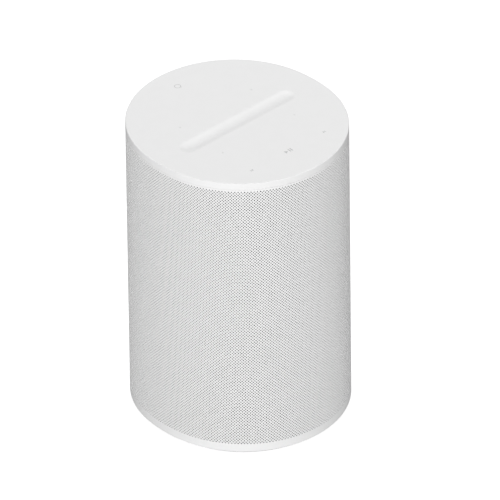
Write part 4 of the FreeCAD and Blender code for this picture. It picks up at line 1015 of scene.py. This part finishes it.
def capacitor_finish(name, colour):
    """Dark sleeve with one pale stripe, and a bare aluminium end with a scored cross."""
    lap, end_depth = 1.0, 0.4        # the sleeve's lap on the end, and the end's depth, in mm
    stripe_width = 1.1
    score, arm = 0.12, 2.4           # half width and half length of the cross's lines
    finish = Finish(name, colour, 0.3)
    x, y, z = finish.millimetres()
    low, high = box_mm("power_capacitors")
    radius = (high.x - low.x) / 2
    aside = moved(finish, x, low.x + radius)
    ends, crosses = [], []
    for middle in (low.z + radius, high.z - radius):
        up = moved(finish, z, middle)
        ends.append(ring(finish, aside, up, 0.0, radius - lap))
        crosses.append(finish.least(bar(finish, aside, up, score, arm),
                                    bar(finish, aside, up, arm, score)))
    disk = finish.ramp(finish.least(*ends), 1, 0, -0.05, 0.05)
    scored = finish.ramp(finish.least(*crosses), 1, 0, -0.05, 0.05)
    back = finish.ramp(moved(finish, y, high.y - end_depth), 0, 1, 0.0, 0.05)
    bare = finish.math("MULTIPLY", disk, back)
    stripe = finish.ramp(moved(finish, x, low.x + stripe_width), 1, 0, -0.05, 0.05)
    sleeve = finish.blend(stripe, finish.wander(finish.noise(4 * MM), 0.15), grey(0.55))
    alloy = finish.blend(scored, grey(0.78), grey(0.4))
    finish.set("Base Color", finish.blend(bare, sleeve, alloy))
    finish.set("Metallic", bare)
    finish.vary_roughness(finish.noise(1.5 * MM, 3.0), 0.22, 0.4)
    finish.relief(finish.math("SUBTRACT", finish.noise(3 * MM), scored), 0.05 * MM)
    return finish


def socket_finish(name, colour):
    """Pressed steel shell with a black tongue that carries gilt contacts."""
    half_tongue, contact_pitch = 0.4, 0.5    # in mm
    finish = Finish(name, colour, 0.3)
    x, _, z = finish.millimetres()
    low, high = box_mm("data_socket")
    half = (high.z - low.z) / 2 - (high.x - low.x) / 2
    tongue = bar(finish, x, moved(finish, z, (low.z + high.z) / 2), half_tongue, half + 0.05)
    shell = finish.ramp(tongue, 0, 1, -0.02, 0.02)
    contact = finish.ramp(finish.ripple(z, contact_pitch), 0, 1, 0.55, 0.65)
    scratch = finish.noise(0.15 * MM, 4.0, finish.stretched("Y", 20.0))
    inner = finish.blend(contact, grey(0.03), (0.75, 0.55, 0.2))
    finish.set("Base Color", finish.blend(shell, inner, finish.wander(scratch, 0.06)))
    finish.set("Metallic", finish.most(shell, finish.math("MULTIPLY", contact, 0.9)))
    finish.vary_roughness(scratch, 0.22, 0.42)
    finish.relief(scratch, 0.006 * MM)
    return finish


def antenna_finish(name, colour):
    """Dark film over a copper zigzag, which shows as raised paler lines."""
    half_zigzag, slope, half_pitch = 3.0, 0.35, 0.9      # lengths in mm
    finish = Finish(name, colour, 0.35)
    x, y, _ = finish.millimetres()
    fold = finish.math("PINGPONG", x, half_zigzag)
    slant = finish.math("MULTIPLY_ADD", y, -slope, fold)
    line = finish.math("PINGPONG", slant, half_pitch)
    track = finish.ramp(line, 1, 0, 0.3, 0.4)
    finish.set("Base Color", finish.blend(track, finish.wander(finish.noise(4 * MM), 0.1),
                                          (0.3, 0.17, 0.08)))
    finish.vary_roughness(finish.noise(1.5 * MM, 3.0), 0.28, 0.45)
    finish.relief(track, 0.03 * MM)
    return finish


# ---------------------------------------------------------------- one finish for each kind of part
def build_finishes():
    """Finishes by material slot; a node with its own entry takes that instead of its slot's."""
    woofer = axis_line("woofer_voice_coil", "woofer_stroke")
    copper, steel = (0.72, 0.38, 0.2), (0.58, 0.57, 0.55)
    makers = {
        "cover_white": (top_finish,),
        "grille_white": (grille_finish,),
        "panel_white": (panel_finish,),
        "control_white": (moulded, grey(0.8), 0.38, 0.1 * MM, 0.002 * MM),
        "foot_rubber": (moulded, grey(0.42), 0.75, 0.2 * MM, 0.012 * MM, 0.04),
        "housing_black": (textured_housing, (0.05, 0.05, 0.055)),
        "frame_black": (moulded, (0.07, 0.07, 0.075), 0.5, 0.2 * MM, 0.01 * MM, 0.1),
        "seal_rubber": (moulded, grey(0.06), 0.8, 0.25 * MM, 0.02 * MM, 0.1),
        "foam_grey": (open_foam, (0.3, 0.3, 0.31)),
        "screw_zinc": (plated, (0.62, 0.62, 0.6), 0.32, 1.5 * MM),
        "basket_steel": (powder_coated, (0.09, 0.09, 0.1)),
        "motor_steel": (turned, steel, 0.35, woofer),
        "ferrite": (sintered, (0.11, 0.11, 0.12)),
        "neodymium": (plated, (0.7, 0.7, 0.72), 0.22, 4 * MM),
        "cone_paper": (fibrous, (0.1, 0.1, 0.11)),
        "surround_rubber": (satin_rubber, (0.04, 0.04, 0.045)),
        "spider_cloth": (woven, (0.62, 0.5, 0.24), 0.5 * MM, 0.75, 0.12 * MM),
        "coil_copper": (wound, copper, woofer, 0.24 * MM),
        "silk_dome": (woven, (0.08, 0.08, 0.09), 0.16 * MM, 0.5, 0.02 * MM),
        "terminal_strip": (terminal_finish, (0.45, 0.28, 0.14)),
        "circuit_green": (circuit, (0.03, 0.16, 0.09)),
        "chip_black": (moulded, grey(0.05), 0.55, 0.15 * MM, 0.006 * MM, 0.06),
        "shield_tin": (plated, grey(0.72), 0.34, 6 * MM),
        "spreader_alloy": (brushed, (0.08, 0.08, 0.085), 0.42, "Z"),
        "pad_grey": (soft_pad, (0.38, 0.42, 0.48)),
        "transformer_tape": (transformer_finish, (0.72, 0.58, 0.1)),
        "capacitor_sleeve": (capacitor_finish, (0.05, 0.07, 0.12)),
        "inlet_black": (moulded, grey(0.05), 0.45, 0.18 * MM, 0.012 * MM, 0.1),
        "pin_nickel": (brushed, (0.74, 0.73, 0.7), 0.25, "Y"),
        "socket_steel": (socket_finish, (0.66, 0.66, 0.67)),
        "antenna_film": (antenna_finish, grey(0.1)),
    }
    made = {slot: maker(slot, *values) for slot, (maker, *values) in makers.items()}
    made["base_cover"] = base_finish("base_white")
    # painted shade: the shield is made dark grey, standing in for the shade behind the rear holes,
    # so that nothing pale shows through them
    made["rf_shield"] = plated("shield_painted_shade", grey(0.09), 0.45, 6 * MM)
    for side in ("left", "right"):
        line = axis_line(f"{side}_tweeter_voice_coil", f"{side}_tweeter_stroke")
        made[f"{side}_tweeter_voice_coil"] = wound(f"{side}_coil_copper", copper, line, 0.16 * MM)
        made[f"{side}_tweeter_yoke"] = turned(f"{side}_yoke_steel", steel, 0.35, line)
    return made


# ---------------------------------------------------------------- stage
def sight_of(tree):
    """Output that is 1 for rays that see a surface directly, by gloss or through glass."""
    path = tree.nodes.new("ShaderNodeLightPath")
    sight = path.outputs["Is Camera Ray"]
    for other in ("Is Glossy Ray", "Is Transmission Ray"):
        node = tree.nodes.new("ShaderNodeMath")
        node.operation = "MAXIMUM"
        tree.links.new(sight, node.inputs[0])
        tree.links.new(path.outputs[other], node.inputs[1])
        sight = node.outputs[0]
    return sight


def build_world():
    """An even sky that lights softly and is white where it is seen."""
    world = bpy.data.worlds.new("studio_sky")
    bpy.context.scene.world = world
    world.use_nodes = True
    tree = world.node_tree
    background = tree.nodes["Background"]
    background.inputs["Color"].default_value = (1, 1, 1, 1)
    strength = tree.nodes.new("ShaderNodeMapRange")
    strength.inputs["To Min"].default_value = SKY
    tree.links.new(sight_of(tree), strength.inputs["Value"])
    tree.links.new(strength.outputs[0], background.inputs["Strength"])


def build_floor():
    """A plain floor that is white where it is seen and keeps the object's shadow."""
    half = FLOOR_SIZE / 2
    mesh = bpy.data.meshes.new("floor")
    mesh.from_pydata([(-half, -half, 0), (half, -half, 0), (half, half, 0), (-half, half, 0)],
                     [], [(0, 1, 2, 3)])
    floor = bpy.data.objects.new("floor", mesh)
    bpy.context.scene.collection.objects.link(floor)
    material = bpy.data.materials.new("floor_white")
    material.use_nodes = True
    tree = material.node_tree
    shader = tree.nodes["Principled BSDF"]
    shader.inputs["Base Color"].default_value = (FLOOR_GREY, FLOOR_GREY, FLOOR_GREY, 1)
    shader.inputs["Roughness"].default_value = 1.0
    shader.inputs["Specular IOR Level"].default_value = 0.0
    shader.inputs["Emission Color"].default_value = (1, 1, 1, 1)
    glow = tree.nodes.new("ShaderNodeMath")
    glow.operation = "MULTIPLY"
    tree.links.new(sight_of(tree), glow.inputs[0])
    glow.inputs[1].default_value = FLOOR_GLOW
    tree.links.new(glow.outputs[0], shader.inputs["Emission Strength"])
    mesh.materials.append(material)


def towards(azimuth, elevation):
    """Unit vector from the object; azimuth 0 is the front and grows towards +X."""
    level = math.cos(elevation)
    return Vector((math.sin(azimuth) * level, -math.cos(azimuth) * level, math.sin(elevation)))


def build_lamp(name, azimuth, elevation, strength):
    """A large soft lamp that shines on the middle of the object; angles are in degrees."""
    data = bpy.data.lights.new(name, "AREA")
    data.shape = "DISK"
    data.size = LAMP_SIZE
    data.energy = strength * (math.pi * LAMP_DISTANCE) ** 2
    lamp = bpy.data.objects.new(name, data)
    bpy.context.scene.collection.objects.link(lamp)
    direction = towards(math.radians(azimuth), math.radians(elevation))
    middle = (cad_box[0] + cad_box[1]) / 2
    lamp.location = middle + direction * LAMP_DISTANCE
    lamp.rotation_mode = "QUATERNION"
    lamp.rotation_quaternion = (-direction).to_track_quat("-Z", "Y")
    lamp.visible_camera = False


def build_camera():
    """A distant long-lens camera, turned a little about its own axis."""
    data = bpy.data.cameras.new("camera")
    data.lens = LENS
    data.clip_start = 0.1
    data.clip_end = 60.0
    camera = bpy.data.objects.new("camera", data)
    bpy.context.scene.collection.objects.link(camera)
    back = towards(AZIMUTH, ELEVATION)
    right = Vector((math.cos(AZIMUTH), math.sin(AZIMUTH), 0))
    up = back.cross(right)
    turned_right = right * math.cos(ROLL) + up * math.sin(ROLL)
    turned_up = up * math.cos(ROLL) - right * math.sin(ROLL)
    middle = Vector((0, 0, cad_box[1].z / 2))
    camera.location = (middle + turned_right * SLIDE_RIGHT + turned_up * SLIDE_UP
                       + back * CAMERA_DISTANCE)
    turn = Matrix((turned_right, turned_up, back)).transposed()
    camera.rotation_mode = "QUATERNION"
    camera.rotation_quaternion = turn.to_quaternion()
    bpy.context.scene.camera = camera


# ---------------------------------------------------------------- the whole scene
bpy.context.scene.view_settings.view_transform = "Standard"
build_world()
build_floor()
for lamp, values in LAMPS.items():
    build_lamp(lamp, *values)
build_camera()
finishes = build_finishes()
build_grille(finishes["grille_white"])
build_suspensions(finishes["surround_rubber"], finishes["spider_cloth"])
for part in frame["record"]["subparts"]:
    node, slot = part["node"], part["material_slot"]
    made = finishes.get(node) or finishes[slot]
    frame["nodes"][node].data.materials[0] = made.material
